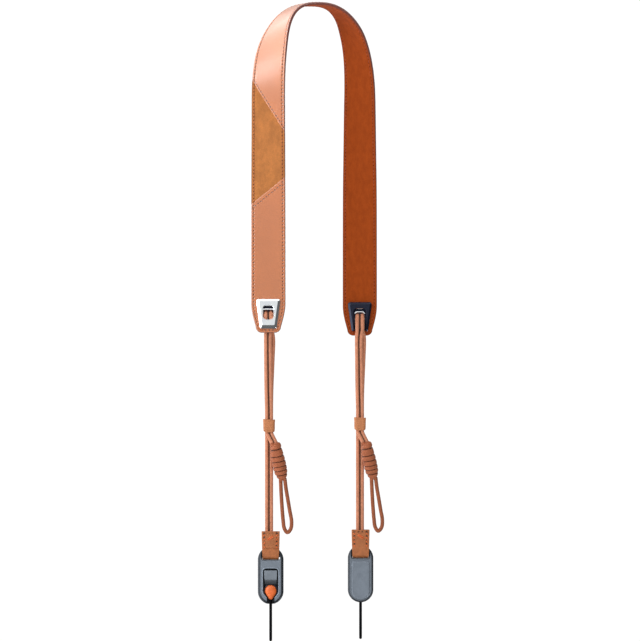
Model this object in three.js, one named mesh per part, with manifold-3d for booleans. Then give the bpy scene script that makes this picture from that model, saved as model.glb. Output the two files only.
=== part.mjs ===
// A camera neck strap, hanging as it does from a neck: a leather band that arches over and twists
// a little on its way down, and at each end a pair of plates, an adjusting cord with its keeper,
// knot and pull loop, a leather tab and a quick-release housing with its knob and tether.
// Millimetres, +Z up, +X to the viewer's right, +Y away from the viewer. The origin is the middle
// of the band's underside at the top of the arch, where it lies on the neck.
import * as THREE from "three";
import { mergeVertices } from "three/addons/utils/BufferGeometryUtils.js";
import Module from "manifold-3d";

const wasm = await Module();
wasm.setup();

const clearance = 0.3; // between pieces that touch on the real strap
const overshoot = 1; // how far a cutter, or a bar that is merged, runs on past the face it meets

// The band, cut from two layers of leather
const band = {
  width: 30,
  outerLeather: 1.3,
  lining: 1.1,
  endLength: 26, // the stretch that narrows to each end
  endWidth: 22, // across the corners of each end
  endFlat: 11.4, // the straight bottom edge of each end
  cornerHeight: 5,
};
const bandThickness = band.outerLeather + clearance + band.lining;

// The arch over the neck is a superellipse seen from the front
const arch = { halfSpan: 40, rise: 85, sidePower: 2.66, topPower: 2.5 };

// How far the band's width is turned from the direction of view, in degrees. down runs from 0 to 1
// over the arch's rise, and from 1 to 2 over the straight stretch to the plates.
const twist = [
  { down: 0, left: 15, right: 15 },
  { down: 0.1, left: 25, right: 25 },
  { down: 0.28, left: 42, right: 40 },
  { down: 0.43, left: 55, right: 47 },
  { down: 0.59, left: 65, right: 53 },
  { down: 0.8, left: 73, right: 60 },
  { down: 1, left: 75.5, right: 64.5 },
  { down: 1.25, left: 78, right: 72 },
  { down: 1.5, left: 83, right: 82 },
  { down: 2, left: 90, right: 90 },
];

// The suede panel on the left leg: how far its seams lie below the origin, at the band's outside
// edge and at the edge that faces the other leg
const suede = { topOutside: 66, topInside: 112, bottomInside: 150, bottomOutside: 174 };

// The plates clamped through each end of the band
const plate = {
  topWidth: 21.6,
  bottomWidth: 14.4,
  height: 25.9,
  cornerRadius: 2.2,
  aboveEnd: 3.5, // band showing under the plate
  frontThickness: 2,
  frontBevel: 1.4,
  backThickness: 3.5,
  backBevel: 1.6,
};
const plateWindow = { width: 8.8, height: 11.9, aboveEnd: 11.8, cornerRadius: 2.2 };
const crossBar = { height: 1.3, depth: 1.2, aboveEnd: 20.5 };
const channel = { width: 10.8, topAboveEnd: 24 };
const pin = { radius: 1, aboveEnd: 14.8, inward: 1.6, lugWidth: 0.9, lugHeight: 6, cordSpacing: 4 };
const strapHole = { width: 10.6, topAboveEnd: 23.7, bottomAboveEnd: 8 };

// The cord, its keeper and its knot
const cord = { diameter: 3.2, sides: 8, spacing: 3.5, groupInward: 5.2 };
const keeper = { wall: 1.3, height: 11.1, cornerRadius: 1.8, sideways: 0.6 };
const knot = {
  radius: 5.9,
  length: 30,
  wraps: 7,
  grooveDepth: 0.8,
  endRadius: 4.4,
  endPower: 6, // how late the barrel narrows to its ends
  sides: 12,
};

// The leather tab that holds the cord's ends and folds round the housing's bar
const tab = {
  width: 15.8,
  leather: 1.4,
  upperLayer: 1.2,
  aboveHousing: 13.5,
  layerEnd: 1.3, // below the housing's top
  foldRadius: 1.9,
  foldGap: 0.5, // between the fold and the floor of the housing's slot
};

// The quick-release housing
const housing = {
  width: 22.4,
  height: 50,
  thickness: 9.2,
  bevel: 0.9,
  top: -472.7,
  coverThickness: 2.4,
  tabSlotDepth: 11.5, // from the housing's top
  barThickness: 3.2,
  barHeight: 9,
};
const panel = { width: 15.6, floor: 2.3, roof: 36.1, proud: 0.7, bevel: 0.6 };
const pocket = { width: 14.8, floor: 4.5, roof: 31.5, depth: 4.1 };
const releaseWindow = { width: 12.4, exitWidth: 5.8, roof: 30.7, shoulder: 10.6, exitRoof: 5.9 };
const tongue = {
  topWidth: 11.5,
  bottomWidth: 10.2,
  height: 12.3,
  thickness: 1.5,
  top: 29.5,
  recess: 0.3,
  cornerRadius: 0.8,
  bevel: 0.3,
};
const knob = {
  radius: 5.1,
  tipRadius: 1.2,
  height: 12.6,
  top: 16.7,
  discRadius: 6.5,
  discThickness: 2.3,
  recess: 0.2,
  bevel: 0.5,
};
const tether = { diameter: 2.5, sides: 8 };

// Faces round what is turned or rounded
const facets = { pin: 12, plateCorner: 2, keeperCorner: 4, tabFold: 5, stadium: 7, knobArc: 6, knobDisc: 24 };
// Steps of a tube between two points of its route
const tubeSteps = { cord: 2, tether: 1 };

// The two sides. end is how far the band's end lies below the origin, keeperHeight is the middle of
// the keeper, cordShift moves the cords, the keeper and the knot, and hang the tab and housing.
const sides = [
  { name: "left", sign: -1, inward: 1, end: 286.1, keeperHeight: -367.2, cordShift: 0, hang: 2 },
  { name: "right", sign: 1, inward: -1, end: 288.7, keeperHeight: -366.2, cordShift: -0.5, hang: 0.6 },
];

const colours = {
  tan: 0xcf9068,
  suede: 0xc4843f,
  lining: 0xa4461f,
  silver: 0xc9ccd2,
  gunmetal: 0x252b3a,
  steel: 0x8a8d92,
  cord: 0xc07d59,
  keeper: 0xcd9164,
  tab: 0xb96e41,
  housing: 0x70787f,
  tongue: 0x5a6067,
  knob: 0xeb642d,
  tether: 0x202226,
};

const strap = new THREE.Group();

// Solids and meshes

function solidOf(geometry) {
  const loose = geometry.index ? geometry.toNonIndexed() : geometry;
  const bare = new THREE.BufferGeometry().setAttribute("position", loose.getAttribute("position"));
  const merged = mergeVertices(bare, 1e-4);
  return new wasm.Manifold(
    new wasm.Mesh({
      numProp: 3,
      vertProperties: merged.attributes.position.array,
      triVerts: new Uint32Array(merged.index.array),
    }),
  );
}

function geometryOf(solid) {
  const made = solid.getMesh();
  const geometry = new THREE.BufferGeometry()
    .setAttribute("position", new THREE.BufferAttribute(made.vertProperties, 3))
    .setIndex(new THREE.BufferAttribute(made.triVerts, 1));
  geometry.computeVertexNormals();
  return geometry;
}

function addMesh(parent, name, geometry, colour, roughness, metalness = 0) {
  const material = new THREE.MeshStandardMaterial({ color: colour, roughness, metalness });
  const mesh = new THREE.Mesh(geometry, material);
  mesh.name = name;
  parent.add(mesh);
  return mesh;
}

// A box between two corners, as a solid
function block(low, high) {
  const size = high.map((value, axis) => value - low[axis]);
  const middle = high.map((value, axis) => (value + low[axis]) / 2);
  return solidOf(new THREE.BoxGeometry(...size).translate(...middle));
}

// A closed outline in X and Z, carried along Y from one depth to another, with a chamfer at both
// ends that stays inside those depths and inside the outline. An arc has twice arcSegments faces.
function slab(shape, nearY, farY, bevel = 0, arcSegments = facets.plateCorner) {
  const geometry = new THREE.ExtrudeGeometry(shape, {
    depth: farY - nearY - 2 * bevel,
    bevelEnabled: bevel > 0,
    bevelThickness: bevel,
    bevelSize: bevel,
    bevelOffset: -bevel,
    bevelSegments: 1,
    curveSegments: arcSegments,
  });
  geometry.translate(0, 0, bevel).rotateX(Math.PI / 2).translate(0, farY, 0);
  return solidOf(geometry);
}

// A convex polygon, listed anticlockwise, whose corners are rounded to a radius
function roundedShape(corners, radius) {
  const shape = new THREE.Shape();
  corners.forEach((corner, index) => {
    const before = corners.at(index - 1);
    const after = corners[(index + 1) % corners.length];
    const toBefore = new THREE.Vector2().subVectors(before, corner).normalize();
    const toAfter = new THREE.Vector2().subVectors(after, corner).normalize();
    const halfAngle = Math.acos(toBefore.dot(toAfter)) / 2;
    const inwards = toBefore.clone().add(toAfter).normalize();
    const centre = corner.clone().addScaledVector(inwards, radius / Math.sin(halfAngle));
    const reach = radius / Math.tan(halfAngle);
    const start = corner.clone().addScaledVector(toBefore, reach).sub(centre);
    const finish = corner.clone().addScaledVector(toAfter, reach).sub(centre);
    shape.absarc(centre.x, centre.y, radius, start.angle(), finish.angle());
  });
  shape.closePath();
  return shape;
}

const corner = (x, z) => new THREE.Vector2(x, z);

function rectangle(width, low, high) {
  return [
    corner(-width / 2, low),
    corner(width / 2, low),
    corner(width / 2, high),
    corner(-width / 2, high),
  ];
}

// The band

// Smooth interpolation in a table by its column down: a cubic through each row, whose slope there
// is that between the rows on either side
function smoothTable(rows, at, key) {
  const last = rows.length - 2;
  const index = Math.min(last, Math.max(0, rows.findIndex((row) => row.down >= at) - 1));
  const slope = (i) => {
    const before = rows[Math.max(0, i - 1)];
    const after = rows[Math.min(rows.length - 1, i + 1)];
    return (after[key] - before[key]) / (after.down - before.down);
  };
  const a = rows[index];
  const b = rows[index + 1];
  const run = b.down - a.down;
  const t = THREE.MathUtils.clamp((at - a.down) / run, 0, 1);
  const keepA = 2 * t ** 3 - 3 * t ** 2 + 1;
  const slopeA = t ** 3 - 2 * t ** 2 + t;
  const slopeB = t ** 3 - t ** 2;
  return (
    keepA * a[key] +
    slopeA * run * slope(index) +
    (1 - keepA) * b[key] +
    slopeB * run * slope(index + 1)
  );
}

// Half the band's width at a distance from its end: a flat edge, a rounded corner, a taper
function halfWidthAt(fromEnd) {
  const { endFlat, endWidth, cornerHeight, endLength, width } = band;
  if (fromEnd < cornerHeight) {
    const rise = 1 - fromEnd / cornerHeight;
    return endFlat / 2 + ((endWidth - endFlat) / 2) * Math.sqrt(1 - rise ** 2);
  }
  const share = Math.min(1, (fromEnd - cornerHeight) / (endLength - cornerHeight));
  const eased = share * (1.5 - 0.5 * share ** 2);
  return endWidth / 2 + ((width - endWidth) / 2) * eased;
}

const archSteps = 22;
const leanSteps = 16; // finer steps within each, which add up how far the arch leans along Y
const legSteps = 7;
const endShares = [1, 0.75, 0.5, 0.32, 0.192, 0.12, 0.06, 0.02, 0];

// One side of the band from the arch's top to its end: a list of places on the middle surface,
// each with the direction across the band and half its width there
function sideStations(side) {
  const middleTop = bandThickness / 2;
  const fullDrop = side.end + middleTop;
  const plateTop = fullDrop - plate.aboveEnd - plate.height;
  const straight = plateTop - arch.rise;
  const stations = [];
  let x = 0;
  let y = 0;
  const add = (drop, down) => {
    const turn = THREE.MathUtils.degToRad(smoothTable(twist, down, side.name));
    stations.push({
      centre: new THREE.Vector3(side.sign * x, side.sign * y, middleTop - drop),
      across: new THREE.Vector3(-Math.sin(turn), Math.cos(turn), 0),
      halfWidth: halfWidthAt(fullDrop - drop),
    });
  };
  add(0, 0);
  const allSteps = archSteps * leanSteps;
  for (let i = 1; i <= allSteps; i++) {
    const angle = (Math.PI / 2) * (i / allSteps) ** (arch.sidePower / 2);
    const nextX = arch.halfSpan * Math.sin(angle) ** (2 / arch.sidePower);
    const drop = arch.rise * (1 - Math.max(0, Math.cos(angle)) ** (2 / arch.topPower));
    const turn = THREE.MathUtils.degToRad(smoothTable(twist, drop / arch.rise, side.name));
    y += (nextX - x) * Math.tan(turn);
    x = nextX;
    if (i % leanSteps === 0) add(drop, drop / arch.rise);
  }
  const legLength = fullDrop - band.endLength - arch.rise;
  for (let i = 1; i <= legSteps; i++) {
    const run = (i / legSteps) * legLength;
    add(arch.rise + run, Math.min(2, 1 + run / straight));
  }
  endShares.slice(1).forEach((share) => add(fullDrop - share * band.endLength, 2));
  return stations;
}

const leftStations = sideStations(sides[0]);
const rightStations = sideStations(sides[1]);
sides[0].leg = leftStations.at(-1).centre;
sides[1].leg = rightStations.at(-1).centre;
const stations = [...leftStations.slice(1).reverse(), ...rightStations];

// The direction out of the band at each station, square to its length and its width
stations.forEach((station, index) => {
  const before = stations[Math.max(0, index - 1)].centre;
  const after = stations[Math.min(stations.length - 1, index + 1)].centre;
  const along = new THREE.Vector3().subVectors(after, before).normalize();
  station.outward = new THREE.Vector3().crossVectors(along, station.across).normalize();
});

// One layer of the band, between two distances out from its middle surface
function bandLayer(inner, outer) {
  const positions = [];
  const triangles = [];
  const count = stations.length;
  stations.forEach(({ centre, across, outward, halfWidth }) => {
    [
      [-halfWidth, inner],
      [halfWidth, inner],
      [halfWidth, outer],
      [-halfWidth, outer],
    ].forEach(([sideways, out]) => {
      const point = centre.clone().addScaledVector(across, sideways).addScaledVector(outward, out);
      positions.push(point.x, point.y, point.z);
    });
  });
  for (let i = 0; i < count - 1; i++) {
    for (let edge = 0; edge < 4; edge++) {
      const a = 4 * i + edge;
      const b = 4 * i + ((edge + 1) % 4);
      // Both faces are split along the same diagonal, so that the layers stay parallel in the twist
      if (edge === 2) triangles.push(a, b, a + 4, b, b + 4, a + 4);
      else triangles.push(a, b, b + 4, a, b + 4, a + 4);
    }
  }
  const last = 4 * (count - 1);
  triangles.push(0, 2, 1, 0, 3, 2, last, last + 1, last + 2, last, last + 2, last + 3);
  const geometry = new THREE.BufferGeometry();
  geometry.setAttribute("position", new THREE.Float32BufferAttribute(positions, 3));
  geometry.setIndex(triangles);
  return solidOf(geometry);
}

// The hole through each end of the band, as a cutter for both layers
function endHoles() {
  return sides
    .map((side) => {
      const half = strapHole.width / 2;
      const reach = 2 * bandThickness;
      return block(
        [side.leg.x - half, side.leg.y - reach, -side.end + strapHole.bottomAboveEnd],
        [side.leg.x + half, side.leg.y + reach, -side.end + strapHole.topAboveEnd],
      );
    })
    .reduce((all, hole) => all.add(hole));
}

const seamReach = 1.6; // times a seam's length, so that its cut clears the band's edges

// A narrow cut across the left leg along a slanted seam, given by its height at the two edges
function seamCut(outsideDrop, insideDrop) {
  const leg = sides[0].leg;
  const run = band.width;
  const length = seamReach * Math.hypot(run, insideDrop - outsideDrop);
  const depth = 2 * band.width;
  const angle = Math.atan2(insideDrop - outsideDrop, run);
  const cut = new THREE.BoxGeometry(length, depth, clearance);
  cut.rotateY(angle).translate(leg.x, leg.y, -(outsideDrop + insideDrop) / 2);
  return solidOf(cut);
}

const holes = endHoles();
const half = bandThickness / 2;
const liningSolid = bandLayer(-half, -half + band.lining).subtract(holes);
const outerSolid = bandLayer(half - band.outerLeather, half)
  .subtract(holes)
  .subtract(seamCut(suede.topOutside, suede.topInside))
  .subtract(seamCut(suede.bottomOutside, suede.bottomInside));

// The outer layer falls into three pieces at the seams, named by how high each one reaches
const outerPieces = outerSolid
  .decompose()
  .sort((a, b) => b.boundingBox().max[2] - a.boundingBox().max[2]);
const outerLooks = [
  ["tan_leather_main", colours.tan, 0.45],
  ["suede_panel", colours.suede, 0.95],
  ["tan_leather_left_end", colours.tan, 0.45],
];
outerLooks.forEach(([name, colour, roughness], index) =>
  addMesh(strap, name, geometryOf(outerPieces[index]), colour, roughness),
);
addMesh(strap, "lining", geometryOf(liningSolid), colours.lining, 0.8);

// The plates. They are made as on the left end, whose outside faces the viewer (-Y), about the
// middle of the band with the band's end at zero height, and the right pair is turned round.

const plateOutline = [
  corner(-plate.bottomWidth / 2, plate.aboveEnd),
  corner(plate.bottomWidth / 2, plate.aboveEnd),
  corner(plate.topWidth / 2, plate.aboveEnd + plate.height),
  corner(-plate.topWidth / 2, plate.aboveEnd + plate.height),
];

function bevelledPlate(innerY, outerY, bevel) {
  const shape = roundedShape(plateOutline, plate.cornerRadius);
  const towardsViewer = outerY < innerY;
  const depth = Math.abs(outerY - innerY);
  const both = towardsViewer
    ? slab(shape, outerY, innerY + bevel, bevel)
    : slab(shape, innerY - bevel, outerY, bevel);
  const reach = plate.topWidth;
  const keep = towardsViewer ? [innerY - depth, innerY] : [innerY, innerY + depth];
  return both.intersect(
    block([-reach, keep[0], -reach], [reach, keep[1], 2 * reach]),
  );
}

function frontPlate() {
  const innerY = -(half + clearance);
  const outerY = innerY - plate.frontThickness;
  const windowShape = roundedShape(
    rectangle(
      plateWindow.width,
      plateWindow.aboveEnd,
      plateWindow.aboveEnd + plateWindow.height,
    ),
    plateWindow.cornerRadius,
  );
  const opening = slab(windowShape, outerY - overshoot, innerY + overshoot);
  const barReach = plateWindow.width / 2 + overshoot;
  const bar = block(
    [-barReach, innerY - crossBar.depth, crossBar.aboveEnd - crossBar.height / 2],
    [barReach, innerY, crossBar.aboveEnd + crossBar.height / 2],
  );
  const lugOuter = strapHole.width / 2 - clearance;
  const lugInnerEnd = pin.inward + pin.radius + 2 * clearance;
  const bore = new THREE.CylinderGeometry(
    pin.radius + clearance,
    pin.radius + clearance,
    strapHole.width,
    facets.pin,
  );
  bore.rotateZ(Math.PI / 2).translate(0, pin.inward, pin.aboveEnd);
  const lugs = [-1, 1].map((sign) => {
    const xs = [sign * lugOuter, sign * (lugOuter - pin.lugWidth)].sort((a, b) => a - b);
    return block(
      [xs[0], outerY + overshoot, pin.aboveEnd - pin.lugHeight / 2],
      [xs[1], lugInnerEnd, pin.aboveEnd + pin.lugHeight / 2],
    );
  });
  return bevelledPlate(innerY, outerY, plate.frontBevel)
    .subtract(opening)
    .add(bar)
    .add(lugs[0])
    .add(lugs[1])
    .subtract(solidOf(bore));
}

function backPlate() {
  const innerY = half + clearance;
  const outerY = innerY + plate.backThickness;
  const radius = channel.width / 2;
  const mouth = new THREE.Shape();
  mouth.moveTo(-radius, 0);
  mouth.lineTo(radius, 0);
  mouth.lineTo(radius, channel.topAboveEnd - radius / 2);
  mouth.quadraticCurveTo(radius, channel.topAboveEnd, 0, channel.topAboveEnd);
  mouth.quadraticCurveTo(-radius, channel.topAboveEnd, -radius, channel.topAboveEnd - radius / 2);
  mouth.closePath();
  return bevelledPlate(innerY, outerY, plate.backBevel).subtract(
    slab(mouth, innerY - overshoot, outerY + overshoot),
  );
}

function anchorPin() {
  const length = strapHole.width - 4 * clearance;
  const geometry = new THREE.CylinderGeometry(pin.radius, pin.radius, length, facets.pin);
  return geometry.rotateZ(Math.PI / 2).translate(0, pin.inward, pin.aboveEnd);
}

// The cords

// A curve that goes through its points and steps on at the pace that they are set
class Route extends THREE.CatmullRomCurve3 {
  constructor(points) {
    super(points, false, "centripetal");
  }
  getPointAt(share, target) {
    return this.getPoint(share, target);
  }
  getTangentAt(share, target) {
    return this.getTangent(share, target);
  }
}

function tube(points, diameter, sideCount, stepsPerPoint) {
  const section = new THREE.Shape();
  for (let i = 0; i < sideCount; i++) {
    const angle = ((i + 0.5) / sideCount) * 2 * Math.PI;
    const x = (diameter / 2) * Math.cos(angle);
    const y = (diameter / 2) * Math.sin(angle);
    if (i === 0) section.moveTo(x, y);
    else section.lineTo(x, y);
  }
  section.closePath();
  return new THREE.ExtrudeGeometry(section, {
    steps: stepsPerPoint * (points.length - 1),
    extrudePath: new Route(points),
    curveSegments: 1,
  });
}

// Where a cord runs at the plates, from the pin's centre: how far inwards from the band's middle
// and how far up. One leg comes off the pin at the inner face and the other behind the window.
const overPin = { inward: 1.6, up: 2.9 };
const innerLeg = [
  { inward: 3.65, up: 2.05 },
  { inward: 4.5, up: 0 },
  { inward: 5.4, up: -3 },
  { inward: 6.45, up: -6 },
  { inward: 6.9, up: -9.5 },
];
const windowLeg = [
  { inward: -0.45, up: 2.05 },
  { inward: -1.3, up: 0 },
  { inward: -0.55, up: -1.6 },
  { inward: 0.6, up: -3 },
  { inward: 1.95, up: -4.4 },
  { inward: 3.15, up: -6.4 },
  { inward: 3.45, up: -9.5 },
];

// Sideways places of the middle of each pair on the way from the plate to the keeper
const nearWay = [
  { x: -0.3, z: -290 },
  { x: -0.2, z: -310 },
  { x: 0.1, z: -335 },
  { x: 0.6, z: -355 },
];
const farWay = [
  { x: 2.3, z: -290 },
  { x: 1.9, z: -310 },
  { x: 0.9, z: -335 },
  { x: 0.6, z: -355 },
];

// The straight pair from the keeper to the tab, and the knot pair from the keeper to the knot:
// sideways from the leg, away from the keeper's middle, and height
const straightWay = [
  { x: 0.6, y: 1.75, z: -380 },
  { x: 0.6, y: 1.75, z: -405 },
  { x: 0.6, y: 1.75, z: -430 },
  { x: 0.6, y: 1.75, z: -455 },
  { x: 0.6, y: 1.75, z: -471.4 },
];
const knotWay = [
  { x: 0.6, y: -1.75, z: -370 },
  { x: 0.7, y: -1.85, z: -373.2 },
  { x: 2.2, y: -2.8, z: -376.6 },
  { x: 4, y: -4.2, z: -380.2 },
  { x: 5.1, y: -5.1, z: -382.4 },
];
const knotTop = { x: 5.5, y: -5.4, z: -383.6 };
const knotBottom = { x: 12.2, y: -2.6, z: -412.7 };

// The pull loop under the knot, from the leg's middle and the keeper's middle
const pullLoopWay = [
  { x: 10.7, y: -2.4, z: -413.6 },
  { x: 10.9, y: -2.2, z: -420 },
  { x: 11.4, y: -1.8, z: -430 },
  { x: 12.1, y: -1.4, z: -441 },
  { x: 12.9, y: -1.1, z: -450 },
  { x: 13.9, y: -1, z: -456.5 },
  { x: 16.6, y: -1, z: -460.2 },
  { x: 19.5, y: -1, z: -457 },
  { x: 20.2, y: -1.1, z: -450.5 },
  { x: 18.6, y: -1.4, z: -441 },
  { x: 17.1, y: -1.8, z: -432 },
  { x: 15.4, y: -2.2, z: -422 },
  { x: 14.3, y: -2.4, z: -412.9 },
];

function keeperMiddle(side) {
  return side.leg.y + side.inward * cord.groupInward;
}

// One of a side's two cords, from inside the tab up over the pin and down to the knot
function cordPoints(side, pairSide) {
  const across = (pairSide * cord.spacing) / 2;
  const pinHeight = -side.end + pin.aboveEnd;
  const middle = keeperMiddle(side);
  const nearY = middle - cord.spacing / 2;
  const farY = middle + cord.spacing / 2;
  const atPin = ({ inward, up }) =>
    new THREE.Vector3(
      side.leg.x + (pairSide * pin.cordSpacing) / 2,
      side.leg.y + side.inward * inward,
      pinHeight + up,
    );
  const legX = side.leg.x + side.cordShift + across;
  const onWay = (y) => (place) => new THREE.Vector3(legX + place.x, y, place.z);
  const below = (place) => new THREE.Vector3(legX + place.x, middle + place.y, place.z);
  const nearLeg = side.inward > 0 ? windowLeg : innerLeg;
  const farLeg = side.inward > 0 ? innerLeg : windowLeg;
  return [
    ...straightWay.map(below).reverse(),
    ...farWay.map(onWay(farY)).reverse(),
    ...farLeg.map(atPin).reverse(),
    atPin(overPin),
    ...nearLeg.map(atPin),
    ...nearWay.map(onWay(nearY)),
    ...knotWay.map(below),
  ];
}

function sidePoint(side, place) {
  return new THREE.Vector3(
    side.leg.x + place.x + side.cordShift,
    keeperMiddle(side) + place.y,
    place.z,
  );
}

function keeperRing() {
  const inner = cord.spacing + cord.diameter + 2 * clearance;
  const outer = inner + 2 * keeper.wall;
  const shape = roundedShape(rectangle(outer, -outer / 2, outer / 2), keeper.cornerRadius);
  shape.holes.push(
    roundedShape(rectangle(inner, -inner / 2, inner / 2), keeper.cornerRadius - keeper.wall),
  );
  const geometry = new THREE.ExtrudeGeometry(shape, {
    depth: keeper.height,
    bevelEnabled: false,
    curveSegments: facets.keeperCorner,
  });
  return geometry.translate(0, 0, -keeper.height / 2);
}

// The outline of one turn of cord on the knot: the share of the pitch, and of the groove's depth
const ridge = [
  { share: 0.06, groove: 1 },
  { share: 0.3, groove: 0 },
  { share: 0.7, groove: 0 },
  { share: 0.94, groove: 1 },
];

// A barrel with a ridge for each turn of cord, its axis along +Y
function knotBarrel() {
  const pitch = knot.length / knot.wraps;
  const endMargin = ridge[0].share * pitch;
  const profile = [new THREE.Vector2(0, endMargin)];
  for (let turn = 0; turn < knot.wraps; turn++) {
    ridge.forEach(({ share, groove }) => {
      const height = (turn + share) * pitch;
      const fromMiddle = Math.abs(height / knot.length - 0.5) * 2;
      const narrowing = (knot.radius - knot.endRadius) * fromMiddle ** knot.endPower;
      profile.push(new THREE.Vector2(knot.radius - narrowing - groove * knot.grooveDepth, height));
    });
  }
  profile.push(new THREE.Vector2(0, knot.length - endMargin));
  return new THREE.LatheGeometry(profile, knot.sides);
}

// The tab: a strip folded under the housing's bar, thicker in front where its end is stitched
function foldedTab() {
  const inside = cord.diameter / 2 + clearance;
  const outside = inside + tab.leather;
  const round = tab.foldRadius;
  const layer = outside + tab.upperLayer;
  const top = housing.top + tab.aboveHousing;
  const layerEnd = housing.top - tab.layerEnd;
  const bottom = housing.top - housing.tabSlotDepth + tab.foldGap;
  const floor = bottom + tab.leather;
  const outline = new THREE.Shape();
  outline.moveTo(-layer, top);
  outline.lineTo(-layer, layerEnd);
  outline.lineTo(-outside, layerEnd);
  outline.lineTo(-outside, bottom + round);
  outline.quadraticCurveTo(-outside, bottom, -outside + round, bottom);
  outline.lineTo(outside - round, bottom);
  outline.quadraticCurveTo(outside, bottom, outside, bottom + round);
  outline.lineTo(outside, top);
  outline.lineTo(inside, top);
  outline.lineTo(inside, floor);
  outline.lineTo(-inside, floor);
  outline.lineTo(-inside, top);
  outline.closePath();
  const geometry = new THREE.ExtrudeGeometry(outline, {
    depth: tab.width,
    bevelEnabled: false,
    curveSegments: facets.tabFold,
  });
  // The outline's first axis becomes Y and its second Z, and it is carried along X
  geometry.translate(0, 0, -tab.width / 2);
  const turn = new THREE.Matrix4().makeBasis(
    new THREE.Vector3(0, 1, 0),
    new THREE.Vector3(0, 0, 1),
    new THREE.Vector3(1, 0, 0),
  );
  return geometry.applyMatrix4(turn);
}

// The quick-release housing, made with its bottom at zero height and its front towards -Y

function stadium(width, low, high) {
  const radius = width / 2;
  const shape = new THREE.Shape();
  shape.absarc(0, high - radius, radius, 0, Math.PI);
  shape.absarc(0, low + radius, radius, Math.PI, 2 * Math.PI);
  shape.closePath();
  return shape;
}

const slotFloor = housing.height - housing.tabSlotDepth;

function housingBody() {
  const depth = housing.thickness / 2;
  const slotWidth = tab.width + 2 * clearance;
  const outline = stadium(housing.width, 0, housing.height);
  const body = slab(outline, -depth, depth, housing.bevel, facets.stadium);
  const raised = slab(
    stadium(panel.width, panel.floor, panel.roof),
    depth - 2 * panel.bevel,
    depth + panel.proud,
    panel.bevel,
    facets.stadium,
  );
  const notch = block(
    [-slotWidth / 2, -2 * depth, slotFloor],
    [slotWidth / 2, 2 * depth, housing.height + overshoot],
  );
  const barBlock = block(
    [-slotWidth / 2 - overshoot, -housing.barThickness / 2, housing.height - housing.barHeight],
    [slotWidth / 2 + overshoot, housing.barThickness / 2, housing.height],
  );
  const bar = barBlock.intersect(slab(outline, -depth, depth, 0, facets.stadium));
  return body.add(raised).subtract(notch).add(bar);
}

const coverInner = -housing.thickness / 2 + housing.coverThickness;

function releaseOpening() {
  const { width, exitWidth, roof, shoulder, exitRoof } = releaseWindow;
  const shape = new THREE.Shape();
  shape.moveTo(-exitWidth / 2, -overshoot);
  shape.lineTo(exitWidth / 2, -overshoot);
  shape.lineTo(exitWidth / 2, exitRoof);
  shape.lineTo(width / 2, shoulder);
  shape.lineTo(width / 2, roof);
  shape.lineTo(-width / 2, roof);
  shape.lineTo(-width / 2, shoulder);
  shape.lineTo(-exitWidth / 2, exitRoof);
  shape.closePath();
  return slab(shape, -housing.thickness, coverInner + clearance);
}

const housingReach = 2 * housing.height;

function housingCover() {
  const keep = block(
    [-housingReach, -housingReach, -housingReach],
    [housingReach, coverInner, housingReach],
  );
  const bar = block(
    [-tab.width / 2 - clearance, -housing.thickness, slotFloor],
    [tab.width / 2 + clearance, 0, housing.height + overshoot],
  );
  return housingBody().intersect(keep).subtract(bar).subtract(releaseOpening());
}

function housingBack() {
  const front = coverInner + clearance;
  const keep = block(
    [-housingReach, front, -housingReach],
    [housingReach, housingReach, housingReach],
  );
  const hollow = block(
    [-pocket.width / 2, front - overshoot, pocket.floor],
    [pocket.width / 2, front + pocket.depth, pocket.roof],
  );
  const exit = block(
    [-releaseWindow.exitWidth / 2, front - overshoot, -overshoot],
    [releaseWindow.exitWidth / 2, front + pocket.depth, pocket.floor + overshoot],
  );
  return housingBody().intersect(keep).subtract(hollow).subtract(exit);
}

const frontFace = -housing.thickness / 2;

function releaseTongue() {
  const { topWidth, bottomWidth, height, thickness, top, recess } = tongue;
  const shape = roundedShape(
    [
      corner(-bottomWidth / 2, top - height),
      corner(bottomWidth / 2, top - height),
      corner(topWidth / 2, top),
      corner(-topWidth / 2, top),
    ],
    tongue.cornerRadius,
  );
  return slab(shape, frontFace + recess, frontFace + recess + thickness, tongue.bevel);
}

// The knob: an upside-down drop in the window on a round disc that the cover holds in. The disc is
// cut flat at the top, where the tongue's end stops it.
function anchorKnob() {
  const centre = knob.top - knob.radius;
  const tipCentre = knob.top - knob.height + knob.tipRadius;
  const lean = Math.asin((knob.radius - knob.tipRadius) / (centre - tipCentre));
  const shape = new THREE.Shape();
  shape.absarc(0, centre, knob.radius, -lean, Math.PI + lean);
  shape.absarc(0, tipCentre, knob.tipRadius, Math.PI + lean, 2 * Math.PI - lean);
  shape.closePath();
  const discFront = coverInner + clearance;
  const { discRadius, discThickness } = knob;
  const disc = new THREE.CylinderGeometry(discRadius, discRadius, discThickness, facets.knobDisc);
  disc.translate(0, discFront + discThickness / 2, centre);
  const below = block([-housingReach, -housingReach, 0], [housingReach, housingReach, knob.top]);
  const knobFront = frontFace + knob.recess;
  return slab(shape, knobFront, discFront + overshoot, knob.bevel, facets.knobArc)
    .add(solidOf(disc).intersect(below));
}

// The tether's loop: away from the housing's middle, and height above its bottom
const tetherWay = [
  { y: -2.7, z: 3.6 },
  { y: -2.8, z: 0 },
  { y: -3.4, z: -6 },
  { y: -4.5, z: -13 },
  { y: -5.3, z: -20 },
  { y: -5, z: -26 },
  { y: -3.4, z: -30 },
  { y: -1.1, z: -31.2 },
  { y: 1.2, z: -30 },
  { y: 2.8, z: -26 },
  { y: 3.1, z: -20 },
  { y: 2.3, z: -13 },
  { y: 1.2, z: -6 },
  { y: 0.5, z: 0 },
  { y: 0.4, z: 4.4 },
];

// Assembly

function placed(side, x, y, z) {
  const group = new THREE.Group();
  group.position.set(x, y, z);
  if (side.sign > 0) group.rotation.z = Math.PI;
  strap.add(group);
  return group;
}

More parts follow.
